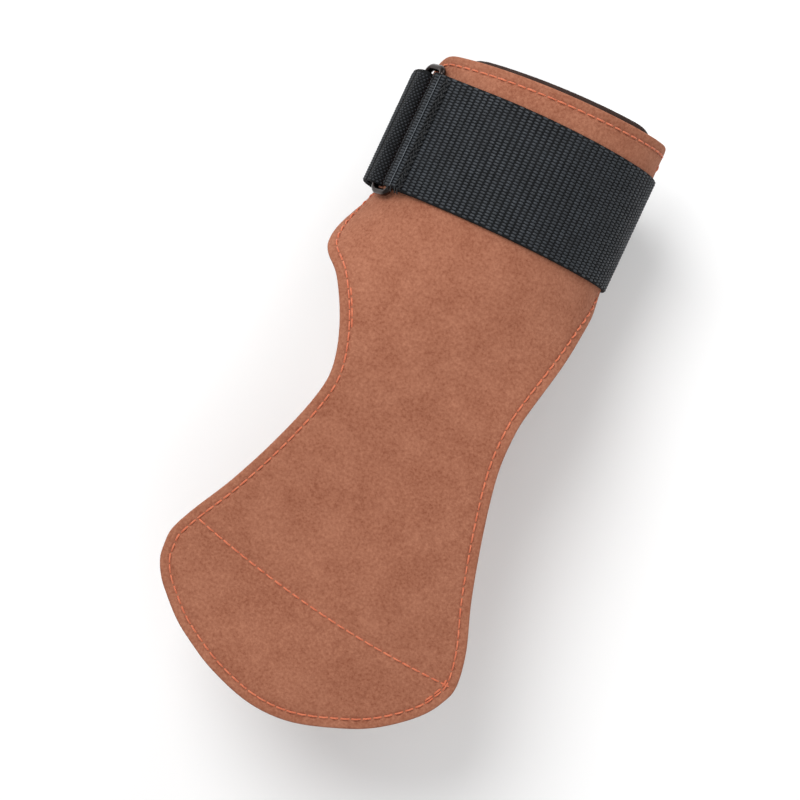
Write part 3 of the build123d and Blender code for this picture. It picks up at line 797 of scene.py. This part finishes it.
        thumb = (-self.thumb_reach + self.thumb_corner, self.thumb_top_y - self.thumb_corner)
        little = (self.little_reach - self.little_corner, self.little_top_y - self.little_corner)
        left = np.array(quarter(thumb, self.thumb_corner, pi / 2, self.corner_steps))
        right = np.array(quarter(little, self.little_corner, 0, self.corner_steps))
        down = smooth_curve([left[-1], (-self.thumb_reach, 0.0), (-self.thumb_reach - 0.3, -16.0),
                             *sheet(self.thumb_side), *sheet(self.fan[:2])])
        up = smooth_curve([*sheet(self.fan[-2:]), *sheet(self.little_side),
                           (self.little_reach, -10.0), (self.little_reach, 4.0), right[0]])
        fan_run = smooth_curve(sheet(self.fan))[CURVE_STEPS:-CURVE_STEPS]
        half = self.corner_steps // 2
        loop = np.vstack([
            even_points(np.vstack([left[half:-1], down[:-CURVE_STEPS], fan_run[:1]]), self.lengthwise)[:-1],
            even_points(fan_run, self.across)[:-1],
            even_points(np.vstack([fan_run[-1:], up[CURVE_STEPS:], right[1:half + 1]]), self.lengthwise)[:-1],
            even_points(np.vstack([right[half:], left[:half + 1]]), self.across)[:-1],
        ])
        for _ in range(2):
            loop = 0.5 * loop + 0.25 * (np.roll(loop, 1, axis=0) + np.roll(loop, -1, axis=0))
        return loop, flanks(loop)

    def loop_rows(self) -> np.ndarray:
        """Lengthwise row that each point of the cut line belongs to."""
        n, m = self.lengthwise, self.across
        return np.concatenate([np.arange(n), np.full(m, n), np.arange(n, 0, -1), np.zeros(m, int)])

    def grid(self, ring: np.ndarray) -> np.ndarray:
        """Fills the inside of a ring with evenly blended rows, as an array of rows by columns."""
        n, m = self.lengthwise, self.across
        left, low = ring[: n + 1], ring[n: n + m + 1]
        right = ring[n + m: 2 * n + m + 1][::-1]
        high = np.vstack([ring[2 * n + m:], ring[:1]])[::-1]
        s = np.linspace(0, 1, m + 1)[None, :, None]
        t = np.linspace(0, 1, n + 1)[:, None, None]
        near_top, near_low = np.exp(-t * 9) * (1 - t), t**6
        top_bow = high[None] - (1 - s) * left[0] - s * right[0]
        low_bow = low[None] - (1 - s) * left[-1] - s * right[-1]
        return (1 - s) * left[:, None] + s * right[:, None] + near_top * top_bow + near_low * low_bow

    def seam_line(self, a: np.ndarray) -> np.ndarray:
        """Distance of the cross seam's row from the waist, along the flap."""
        far, bow, bow_middle, bow_half = 65.0, 3.3, 8.6, 47.5
        return far + bow * (1 - ((a - bow_middle) / bow_half) ** 2)

    def press(self, x: np.ndarray, y: np.ndarray, inset: np.ndarray | float) -> np.ndarray:
        """How deep the thread has pulled the face in, at the edge's row and at the cross seam."""
        edge_depth, edge_width, seam_depth, seam_width, seam_end = 0.34, 0.75, 0.32, 0.9, 56
        edge = edge_depth * np.exp(-((np.asarray(inset) - self.row_inset) / edge_width) ** 2)
        a, away = self.seam_run(x, y)
        seam = seam_depth * np.exp(-((away - self.seam_line(a)) / seam_width) ** 2)
        return np.maximum(edge, seam * (np.abs(x) < seam_end))

    def rings(self, thickness: float) -> list[tuple[float, float, bool]]:
        """Loops of a layer's edge from front to back: inset, depth, and whether it is in front."""
        soft = min(self.edge_radius, thickness * 0.42)
        front = [(inset, 0.0) for inset in self.front_insets]
        front += edge_profile(soft, np.linspace(0, pi / 2, 5))
        back = [(-self.rim_swell, thickness / 2)]
        back += [(inset, thickness - down) for inset, down in edge_profile(soft, np.linspace(pi / 2, 0, 4))]
        back += [(inset, thickness) for inset in self.back_insets]
        return [(*spot, True) for spot in front] + [(*spot, False) for spot in back]

    def grid_numbers(self, rim: int, inside: int) -> np.ndarray:
        """Vertex numbers of a filled face, whose rim starts at one number and whose inside at another."""
        n, m = self.lengthwise, self.across
        numbers = np.zeros((n + 1, m + 1), int)
        numbers[:, 0] = rim + np.arange(n + 1)
        numbers[n, :] = rim + n + np.arange(m + 1)
        numbers[:, m] = rim + 2 * n + m - np.arange(n + 1)
        numbers[0, 1:] = rim + 2 * n + 2 * m - np.arange(1, m + 1)
        numbers[0, 0] = rim
        numbers[1:n, 1:m] = inside + np.arange((n - 1) * (m - 1)).reshape(n - 1, m - 1)
        return numbers

    def layer(self, name: str, depth: float, thickness: float, shrink: float, pressed: bool,
              material: bpy.types.Material) -> list[bpy.types.Object]:
        """One layer of leather, as two closed pieces that meet in the palm.

        Args:
            name: stem of the pieces' names.
            depth: depth of its upper face under the hide's front.
            thickness: its thickness.
            shrink: how far its edge stands in from the cut line.
            pressed: whether the rows of thread sink into it.
            material: its finish.

        Returns:
            The cuff's half and the fan's half.
        """
        loop, inward = self.outline()
        count, n, m = len(loop), self.lengthwise, self.across
        rings = self.rings(thickness)
        points, row_of = [], [self.loop_rows()] * len(rings)
        for inset, down, upper in rings:
            x, y = (loop + inward * (inset + shrink)).T
            sunk = self.press(x, y, inset + shrink) if pressed and upper else np.zeros(count)
            points.append(self.point(x, y, depth + down + sunk))
        faces = tube_faces(len(rings), count)
        inside = self.grid(loop + inward * (self.front_insets[0] + shrink))
        x, y = inside[..., 0], inside[..., 1]
        for behind, ring in ((False, 0), (True, len(rings) - 1)):
            sunk = self.press(x, y, self.middle_inset) if pressed and not behind else np.zeros_like(x)
            placed = self.point(x, y, depth + (thickness if behind else 0.0) + sunk)
            numbers = self.grid_numbers(ring * count, sum(map(len, points)))
            points.append(placed[1:n, 1:m].reshape(-1, 3))
            row_of.append(np.repeat(np.arange(1, n), m - 1))
            quads = np.stack([numbers[:-1, :-1], numbers[1:, :-1], numbers[1:, 1:], numbers[:-1, 1:]],
                             axis=-1)
            faces += [tuple(q) if behind else tuple(q[::-1]) for q in quads.reshape(-1, 4).tolist()]
        vertices, row_of = np.vstack(points), np.concatenate(row_of)
        whole = new_piece(f"{name}_whole", vertices, faces, material)
        normals = np.empty(3 * len(vertices), np.float32)
        whole.data.vertex_normals.foreach_get("vector", normals)
        normals = normals.reshape(-1, 3)
        bpy.data.objects.remove(whole)
        halves = []
        for part, in_fan in (("cuff", False), ("fan", True)):
            chosen = [face for face in faces if (row_of[list(face)].max() > self.split_row) == in_fan]
            halves.append(self.half(f"{name}_{part}", vertices, normals, chosen, material))
        return halves

    def half(self, name: str, vertices: np.ndarray, normals: np.ndarray, faces: list,
             material: bpy.types.Material) -> bpy.types.Object:
        """One half of a layer, its cut across the palm closed and shaded as part of the whole."""
        used = np.unique(np.array([v for face in faces for v in face]))
        renumber = np.full(len(vertices), -1)
        renumber[used] = np.arange(len(used))
        piece = new_piece(name, vertices[used], [renumber[list(face)] for face in faces], material, False)
        shell = bmesh.new()
        shell.from_mesh(piece.data)
        open_edges = [edge for edge in shell.edges if edge.is_boundary]
        made = bmesh.ops.holes_fill(shell, edges=open_edges, sides=0)["faces"]
        bmesh.ops.recalc_face_normals(shell, faces=shell.faces)
        for wall in made:
            wall.smooth = True
        shell.to_mesh(piece.data)
        shell.free()
        piece.data.normals_split_custom_set_from_vertices(normals[used].tolist())
        return piece

    def row(self, flat: np.ndarray, sink: float = 0.2) -> Places:
        """Stitch places along a row that is given in sheet coordinates.

        Args:
            flat: points of the row.
            sink: how deep the thread lies in its groove, where the strap does not press it.

        Returns:
            The places.
        """
        fine = even_points(flat, 6 * len(flat))
        run = run_along(self.point(fine[:, 0], fine[:, 1], np.zeros(len(fine))))
        wanted = np.arange(self.pitch / 2, run[-1], self.pitch)
        (x, y), (next_x, next_y) = read_off(wanted, run, fine).T, read_off(wanted + 0.3, run, fine).T
        depth = np.where(np.abs(y) < self.strap_cover, self.strap_sink, sink)
        at = self.point(x, y, depth)
        return Places(at, unit(self.point(next_x, next_y, depth) - at), self.point(x, y, depth - 1) - at)

    def smooth_rows(self) -> dict[str, list[np.ndarray]]:
        """Every row of orange thread in sheet coordinates, sorted by the leather's half."""
        loop, inward = self.outline()
        row = loop + inward * self.row_inset
        n, m, s = self.lengthwise, self.across, self.split_row
        top = np.vstack([row[2 * n + m - 2:], row[:3]])
        left, right = row[: n + 1], row[n + m: 2 * n + m + 1][::-1]

        def doubled(low: float, high: float, side: int) -> np.ndarray:
            """Second row beside the edge's row, between two places along the forearm."""
            near = (loop[:, 1] > low) & (loop[:, 1] < high) & (loop[:, 0] * side > 0)
            return loop[near] + inward[near] * (self.row_inset + self.second_row)

        across = np.linspace(*self.seam_ends, 40)
        away = self.seam_line(across)
        turn_cos, turn_sin = cos(self.seam_turn), sin(self.seam_turn)
        seam = np.column_stack([self.seam_origin[0] + across * turn_cos + away * turn_sin,
                                self.seam_origin[1] + across * turn_sin - away * turn_cos])
        skip = self.heel_skip
        return {
            "cuff": [top, left[skip:s], right[skip:s], doubled(-66, -53, -1)],
            "fan": [np.vstack([left[s:], row[n: n + m], right[s:][::-1]]), seam, doubled(-159, -148, 1)],
        }

    def stitches(self, half: str, material: bpy.types.Material) -> bpy.types.Object:
        """All the thread on one half of the leather."""
        rows = [self.row(line) for line in self.smooth_rows()[half]]
        whole = Places(*[np.vstack([getattr(row, part) for row in rows]) for part in ("at", "along", "out")])
        return whole.lay(f"orange_thread_{half}", Shape.STITCH, self.stitch, material, 0.1, seed=11)

    def cut_area(self) -> dict[str, float]:
        """Flat area of each half of a layer, in square metres."""
        loop, _ = self.outline()
        rows = self.loop_rows()
        areas = {}
        for half, keep in (("cuff", rows <= self.split_row), ("fan", rows >= self.split_row)):
            part = loop[keep]
            x, y = part[:, 0], part[:, 1]
            areas[half] = abs(float((x * np.roll(y, -1) - y * np.roll(x, -1)).sum()) / 2) * MM * MM
        return areas

    def build(self) -> None:
        """Builds both layers and their thread, and hides the CAD's leather and thread in their place."""
        nubuck, flesh = NUBUCK.material(), FLESH_SIDE.material()
        orange = ORANGE_THREAD.material()
        face = self.layer("face_leather", 0.0, self.face_thickness, 0.0, True, nubuck)
        behind = self.face_thickness + self.layer_gap
        backing = self.layer("backing_leather", behind, self.backing_thickness, 0.3, False, flesh)
        thread = [self.stitches(half, orange) for half in ("cuff", "fan")]
        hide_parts("cuff_face_leather", "palm_face_leather")
        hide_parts("finger_face_leather")
        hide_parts("cuff_backing_leather", "palm_backing_leather")
        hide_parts("finger_backing_leather")
        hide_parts("top_edge_stitching", "heel_edge_stitching", "palm_edge_stitching")
        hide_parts("cross_seam_stitching", "finger_edge_stitching")
        areas = self.cut_area()
        for cuff_part, fan_part in (face, backing, thread):
            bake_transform(cuff_part)
            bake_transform(fan_part)
        log.info("leather: four pieces of hide and two of thread")


# ---------------------------------------------------------------- the pad

@dataclass
class WristPad:
    """Foam pad with a knit lining, under the cuff's leather."""

    thickness: float = 3.6
    lining: float = 0.6
    gap: float = 0.05
    high_y: float = 29.7
    low_y: float = -24.0
    thumb_reach: float = radians(73.0)
    little_reach: float = radians(88.0)
    corner: float = 16.0
    slant: float = 4.2
    low_corner: float = 3.0
    rim_setback: float = 4.0
    rim_points: int = 260

    def block(self, name: str, inside: float, outside: float, edge: float, puff: float,
              material: bpy.types.Material) -> bpy.types.Object:
        """A layer of the pad with rounded corners, soft edges and a slight swell.

        Args:
            name: the piece's name.
            inside: its inner offset from the wrist.
            outside: its outer offset.
            edge: radius of its edges.
            puff: how far its rim stands out past the leather's line.
            material: its finish.

        Returns:
            The closed piece.
        """
        middle = OVAL.front((inside + outside) / 2, self.thumb_reach, self.little_reach)
        run = run_along(middle)
        width, length = run[-1], self.high_y - self.low_y
        half = (outside - inside) / 2
        soft = min(edge, half)
        out = left_of(unit(np.gradient(middle, axis=0)))
        top, low = self.corner, self.low_corner
        corners = [quarter((cx, cy), radius, start, 8) for cx, cy, radius, start in (
            (top, length - top, top, pi / 2), (low, low, low, pi),
            (width - low, low, low, 1.5 * pi), (width - top, length - top, top, 0.0))]
        loop = even_points(np.vstack([*corners, corners[0][:1]]), self.rim_points)[:-1]
        inward = flanks(loop)
        centre = np.array([width / 2, length / 2])

        def place(flat: np.ndarray, rise: float) -> np.ndarray:
            """Points in space of places on the developed layer, at a height out of its middle."""
            spot = read_off(flat[:, 0], run, middle) + read_off(flat[:, 0], run, out) * rise
            lean = self.slant * (flat[:, 0] / width - 0.5) * flat[:, 1] / length
            return np.column_stack([spot[:, 0], flat[:, 1] + self.low_y + lean, spot[:, 1]])

        rings = []
        for side in (1, -1):
            setback = loop + inward * self.rim_setback - centre
            inner = [place(centre + setback * share, side * half) for share in np.linspace(0.06, 1.0, 22)]
            near = [place(loop + inward * inset, side * half) for inset in (3.0, 2.0)]
            rim = [place(loop + inward * (soft * (1 - sin(a))) - inward * puff * sin(a),
                         side * (half - soft * (1 - cos(a)))) for a in np.linspace(0, pi / 2, 6)]
            rings.append(inner + near + rim)
        order = rings[0] + rings[1][::-1][1:]
        count = len(loop)
        faces = tube_faces(len(order), count)
        faces.append(tuple(range(count))[::-1])
        faces.append(tuple(np.arange(count) + (len(order) - 1) * count))
        return new_piece(name, np.vstack(order), faces, material)

    def build(self) -> None:
        """Builds the foam and its lining on the cuff."""
        inner = self.lining + self.gap
        foam = self.block("pad_foam_block", inner, inner + self.thickness, 1.6, 0.3, NEOPRENE.material())
        lining = self.block("pad_knit_lining", 0.0, self.lining, 0.28, 0.0, KNIT.material())
        for piece, node, name in ((foam, "wrist_pad_foam", "pad_foam"),
                                  (lining, "wrist_pad_lining", "pad_lining")):
            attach(piece, "cuff")
            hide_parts(node)
        log.info("pad: foam and lining on the cuff")


# ---------------------------------------------------------------- the strap

@dataclass
class Strap:
    """Webbing strap: round the ring's first bar, over the cuff, behind the wrist, through the ring, back."""

    width: float = 38.0
    thickness: float = 1.4
    strap_in: float = 7.65
    wire: float = 1.15
    bar_distance: float = 25.2
    first_bar: float = radians(136.0)
    second_bar: float = radians(155.41876)
    fold_low: float = radians(162.0)
    tail_end: float = radians(25.0)
    float_size: tuple[float, float, float] = (1.95, 0.86, 0.24)
    float_pitch: tuple[float, float] = (1.95, 0.93)
    fine_size: tuple[float, float, float] = (0.85, 0.6, 0.2)
    fine_pitch: tuple[float, float] = (1.15, 0.78)
    loop_lean: float = radians(112.7)
    sewn_end: float = radians(126.0)
    back_lap: float = 0.01
    fold_lap: float = -0.014
    tail_lap: float = 0.004
    fine_step: float = 0.4
    side_step: float = 0.5
    loop_rows: tuple[float, float, float] = (3.0, 3.7, 4.4)
    tail_rows: tuple[float, float, float] = (292.5, 291.3, 242.5)

    def bar(self, angle: float) -> np.ndarray:
        """Centre of one of the ring's bars."""
        return np.array([-OVAL.side_x + self.bar_distance * cos(angle), self.bar_distance * sin(angle)])

    def main_line(self) -> np.ndarray:
        """Middle line of the main run, from the sewn end under the ring's bar to the end behind."""
        middle = self.strap_in + self.thickness / 2
        around = self.wire + self.thickness / 2
        bar = self.bar(self.first_bar)
        centre = np.array([0.0, OVAL.front_z])
        front_radius, side_radius = OVAL.front_radius + middle, OVAL.side_radius + middle
        meet = pi / 2 + OVAL.turn
        gap = bar - centre
        lean = np.arccos((OVAL.front_radius + self.strap_in - self.wire) / np.linalg.norm(gap))
        leave = atan2(gap[1], gap[0]) - lean
        under = OVAL.arc((0, OVAL.front_z), front_radius, self.sewn_end, meet, self.side_step)
        side = OVAL.arc((-OVAL.side_x, 0), side_radius, meet, self.first_bar, self.side_step)
        loop = OVAL.arc(tuple(bar), around, self.first_bar + pi, leave, self.fine_step)
        start = centre + front_radius * np.array([cos(leave), sin(leave)])
        leg = np.linspace(loop[-1], start, 20)
        front = OVAL.arc((0, OVAL.front_z), front_radius, leave, pi / 2 - OVAL.turn)
        little = OVAL.arc((OVAL.side_x, 0), side_radius, pi / 2 - OVAL.turn, 0)
        back = OVAL.back(middle, 2.0, self.fold_low + self.back_lap - pi / 2)
        return np.vstack([under[:-1], side[:-1], loop[:-1], leg[1:-1], front, little[1:], back[1:]])

    def fold_line(self) -> np.ndarray:
        """Middle line of the fold round the ring's second bar."""
        around = self.wire + self.thickness / 2
        low = self.fold_low + self.fold_lap
        near = OVAL.arc((-OVAL.side_x, 0), OVAL.side_radius + self.strap_in + self.thickness / 2, low,
                        self.second_bar, self.fine_step)
        bar = tuple(self.bar(self.second_bar))
        turn = OVAL.arc(bar, around, self.second_bar - pi, self.second_bar, self.fine_step)
        far = OVAL.arc((-OVAL.side_x, 0), self.bar_distance + around, self.second_bar, low, self.fine_step)
        return np.vstack([near[:-1], turn[:-1], far])

    def tail_line(self) -> np.ndarray:
        """Middle line of the tail that lies over the back run."""
        offset = self.bar_distance - OVAL.side_radius + self.wire + self.thickness / 2
        return OVAL.back(offset, self.tail_end, self.fold_low + self.tail_lap - pi / 2)[::-1]

    def dressed(self, name: str, line: np.ndarray, body: str, node: str, yarn: bpy.types.Material,
                ground: bpy.types.Material, size: tuple, pitch: tuple, flip: float) -> None:
        """A run of webbing with its woven floats on both faces.

        Args:
            name: the piece's name.
            line: its middle line.
            body: the body that it rides on.
            node: the CAD node that it stands for.
            yarn: finish of the floats.
            ground: finish of the cloth between them.
            size: length, width and height of a float.
            pitch: distances between floats along and across.
            flip: 1 where the line's left side is the strap's outer face, -1 where it is the inner one.
        """
        band = Band(line, self.thickness - 2.2 * size[2], -self.width / 2, self.width / 2)
        piece = band.mesh(name, ground)
        for label, side in (("outer", flip), ("inner", -flip)):
            places = band.weave(*pitch, side=side, columns=size is self.float_size)
            floats = places.lay(f"{name}_{label}_weave", Shape.FLOAT, size, yarn, 0.09, 7)
            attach(floats, body)
        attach(piece, body)
        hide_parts(node)
    def seam(self, name: str, body: str, node: str, spots: Sequence[tuple],
             thread: bpy.types.Material) -> None:
        """Rows of black thread across the strap.

        Args:
            name: the piece's name.
            body: the body that it rides on.
            node: the CAD node that it stands for.
            spots: (place, outward direction) of each row in the XZ plane.
            thread: finish of the thread.
        """
        at, along, out = [], [], []
        for number, (place, up) in enumerate(spots):
            rows = np.arange(-self.width / 2 + 1.3, self.width / 2 - 1.0, 2.0) + (number % 2)
            lean = 0.6 if number % 2 else -0.6
            for y in rows[rows < self.width / 2 - 0.8]:
                at.append((place[0], y, place[1]))
                way = np.array([-up[1] * lean, 1.0, up[0] * lean])
                along.append(way / np.linalg.norm(way))
                out.append((up[0], 0, up[1]))
        whole = Places(np.array(at), np.array(along), np.array(out))
        piece = whole.lay(name, Shape.STITCH, (1.9, 0.55, 0.4), thread, 0.12, 5)
        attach(piece, body)
        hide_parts(node)

    def fold_edge(self, bar: np.ndarray, up: np.ndarray, back: np.ndarray, edge: bpy.types.Material,
                  thread: bpy.types.Material) -> None:
        """The pale yarns along the loop's folded edge, and the tacks that hold its lower corner.

        Args:
            bar: centre of the ring's first bar.
            up: outward direction of the loop's straight run.
            back: direction along that run, away from the bar.
            edge: finish of the pale yarns, whose pale grey is a painted highlight on the fold's crest.
            thread: finish of the tacks.
        """
        around = self.wire + self.thickness
        y = np.arange(-self.width / 2 + 0.8, self.width / 2 - 0.4, 0.86)
        ones = np.ones(len(y))
        spot = bar + up * around + back * 0.7
        at = np.column_stack([spot[0] * ones, y, spot[1] * ones])
        along = np.column_stack([0.2 * back[0] * ones, ones, 0.2 * back[1] * ones])
        along /= np.linalg.norm(along, axis=1)[:, None]
        out = np.column_stack([up[0] * ones, 0 * ones, up[1] * ones])
        # A row of pale floats along the fold's crest, coloured as a painted highlight.
        yarn = Places(at, along, out).lay("strap_loop_edge_highlight", Shape.FLOAT, (1.25, 0.42, 0.2), edge, 0.15, 4)
        ends = np.array([0.3, 1.5, 2.9, 3.8])
        low = np.full(4, -self.width / 2)
        spots = bar + up * (around - 0.1) + back * ends[:, None]
        tacks = Places(np.column_stack([spots[:, 0], low, spots[:, 1]]),
                       np.tile([0.35 * back[0], -0.94, 0.35 * back[1]], (4, 1)),
                       np.tile([up[0], 0.0, up[1]], (4, 1)))
        held = tacks.lay("strap_loop_tacks", Shape.STITCH, (2.2, 0.4, 0.35), thread, 0.2, 8)
        for piece, slot in ((yarn, "webbing"), (held, "black_thread")):
            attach(piece, "cuff")

    def build(self) -> None:
        """Builds the strap's three runs and its seams."""
        ground, coarse, fine = WEB_GROUND.material(), WEB_FLOAT.material(), WEB_FINE.material()
        black = BLACK_THREAD.material()
        for name, line, body, node, yarn, size, pitch, flip in (
                ("strap_main_run", self.main_line(), "cuff", "strap_webbing", coarse,
                 self.float_size, self.float_pitch, 1.0),
                ("strap_ring_fold", self.fold_line(), "ring", "strap_fold", fine,
                 self.fine_size, self.fine_pitch, 1.0),
                ("strap_tail_run", self.tail_line(), "strap_tail", "strap_tail", fine,
                 self.fine_size, self.fine_pitch, -1.0)):
            self.dressed(name, line, body, node, yarn, ground, size, pitch, flip)
        bar = self.bar(self.first_bar)
        up = np.array([cos(self.loop_lean), sin(self.loop_lean)])
        back = np.array([up[1], -up[0]])
        foot = bar + up * (self.wire + self.thickness + 0.05)
        self.seam("ring_loop_thread", "cuff", "ring_loop_stitching",
                  [(foot + back * d, up) for d in self.loop_rows], black)
        self.fold_edge(bar, up, back, WEB_EDGE_HIGHLIGHT.material(), black)
        centre = np.array([0.0, OVAL.back_radius - OVAL.back_half_height])
        reach = OVAL.back_radius + (self.bar_distance - OVAL.side_radius + self.wire + self.thickness
                                    - self.strap_in) + 0.02
        ways = [np.array([cos(angle), sin(angle)]) for angle in map(radians, self.tail_rows)]
        self.seam("tail_thread", "strap_tail", "tail_end_stitching",
                  [(centre + way * reach, way) for way in ways], black)
        log.info("strap: main run, ring fold, tail and their seams")


@dataclass
class Tapes:
    """Loop tape sewn on the strap behind the wrist, and the hook tape inside the tail."""

    width: float = 34.0
    thickness: float = 0.95
    start: float = radians(-30.0)
    pile: float = 0.35
    tuft: tuple[float, float, float] = (0.7, 0.2, 0.3)
    tuft_pitch: tuple[float, float] = (1.15, 1.05)

    def strip(self, name: str, offset: float, end: float, body: str, node: str, side: float,
              finish: bpy.types.Material) -> None:
        """A strip of tape with its pile.

        Args:
            name: the piece's name.
            offset: its inner offset from the wrist.
            end: angle of its far end past the lowest point.
            body: the body that it rides on.
            node: the CAD node that it stands for.
            side: 1 if the pile faces outwards, -1 if inwards.
            finish: its finish.
        """
        middle = offset + self.thickness / 2 - side * self.pile / 2
        centre = (0.0, OVAL.back_radius - OVAL.back_half_height)
        down = 1.5 * pi
        line = OVAL.arc(centre, OVAL.back_radius + middle - OVAL.strap_in, down + self.start, down + end)
        band = Band(line, self.thickness - self.pile, -self.width / 2, self.width / 2, 0.2)
        piece = band.mesh(name, finish)
        weave = band.weave(*self.tuft_pitch, side=-side)
        tufts = weave.lay(f"{name}_pile", Shape.HOOK, self.tuft, finish, 0.3, 9)
        for made in (piece, tufts):
            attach(made, body)
        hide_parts(node)

    def build(self) -> None:
        """Builds both tapes."""
        finish = TAPE.material()
        self.strip("loop_tape_strip", 9.1, radians(29.0), "cuff", "loop_tape", 1.0, finish)
        self.strip("hook_tape_strip", 10.35, radians(22.0), "strap_tail", "hook_tape", -1.0, finish)
        log.info("tapes: loop and hook")


@dataclass
class Studio:
    """Pale floor, soft lights and the camera over the palm."""

    middle: tuple[float, float] = (-3.9, -76.3)
    height: float = 685.0
    turn: float = radians(25.0)
    lens: float = 98.4
    floor_z: float = -36.6

    def lamp(self, name: str, place: tuple[float, float, float], size: float, power: float) -> None:
        """An area lamp that faces the object's middle."""
        light = bpy.data.lights.new(name, "AREA")
        light.shape = "DISK"
        light.size = size
        light.energy = power
        lamp = bpy.data.objects.new(name, light)
        lamp.location = place
        aim = Vector((self.middle[0] * MM, self.middle[1] * MM, 0.0)) - Vector(place)
        lamp.rotation_euler = aim.to_track_quat("-Z", "Y").to_euler()
        bpy.context.scene.collection.objects.link(lamp)

    def build(self) -> None:
        """Sets the stage, lights and camera."""
        side = 2500.0
        corners = np.array([(x, y, self.floor_z) for x, y in ((-side, -side), (side, -side),
                                                              (side, side), (-side, side))])
        floor = new_piece("studio_floor", corners, [(0, 1, 2, 3)], PALE_FLOOR.material(), False)
        for name, place, size, power in (("key_light", (-0.45, 0.25, 0.72), 0.6, 6.2),
                                         ("fill_light", (0.6, -0.3, 0.7), 0.9, 1.4),
                                         ("back_light", (0.1, 0.9, 0.5), 0.5, 2.0)):
            self.lamp(name, place, size, power)
        world = bpy.data.worlds.new("studio_air")
        world.use_nodes = True
        sky = world.node_tree.nodes["Background"]
        sky.inputs["Color"].default_value = (1, 1, 1, 1)
        sky.inputs["Strength"].default_value = 0.54
        scene = bpy.context.scene
        scene.world = world
        scene.view_settings.view_transform = "Standard"
        camera = bpy.data.cameras.new("palm_camera")
        camera.lens = self.lens
        camera.sensor_width = 36.0
        camera.clip_start, camera.clip_end = 0.01, 10.0
        eye = bpy.data.objects.new("palm_camera", camera)
        eye.location = (self.middle[0] * MM, self.middle[1] * MM, self.height * MM)
        eye.rotation_euler = (0.0, 0.0, self.turn)
        scene.collection.objects.link(eye)
        scene.camera = eye
        log.info("studio: floor, three lights, camera")


def dress_ring() -> None:
    """Gives the wire ring its dark nickel finish."""
    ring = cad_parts["strap_ring"]
    finish = GUNMETAL.material()
    for slot in ring.material_slots:
        slot.material = finish
    log.info("ring: dark nickel")


def main() -> None:
    """Builds the grip round its frame, part by part."""
    logging.basicConfig(level=logging.INFO, format="%(name)s: %(message)s")
    WristPad().build()
    Strap().build()
    Hide().build()
    Tapes().build()
    dress_ring()
    Studio().build()


if __name__ == "__main__":
    main()
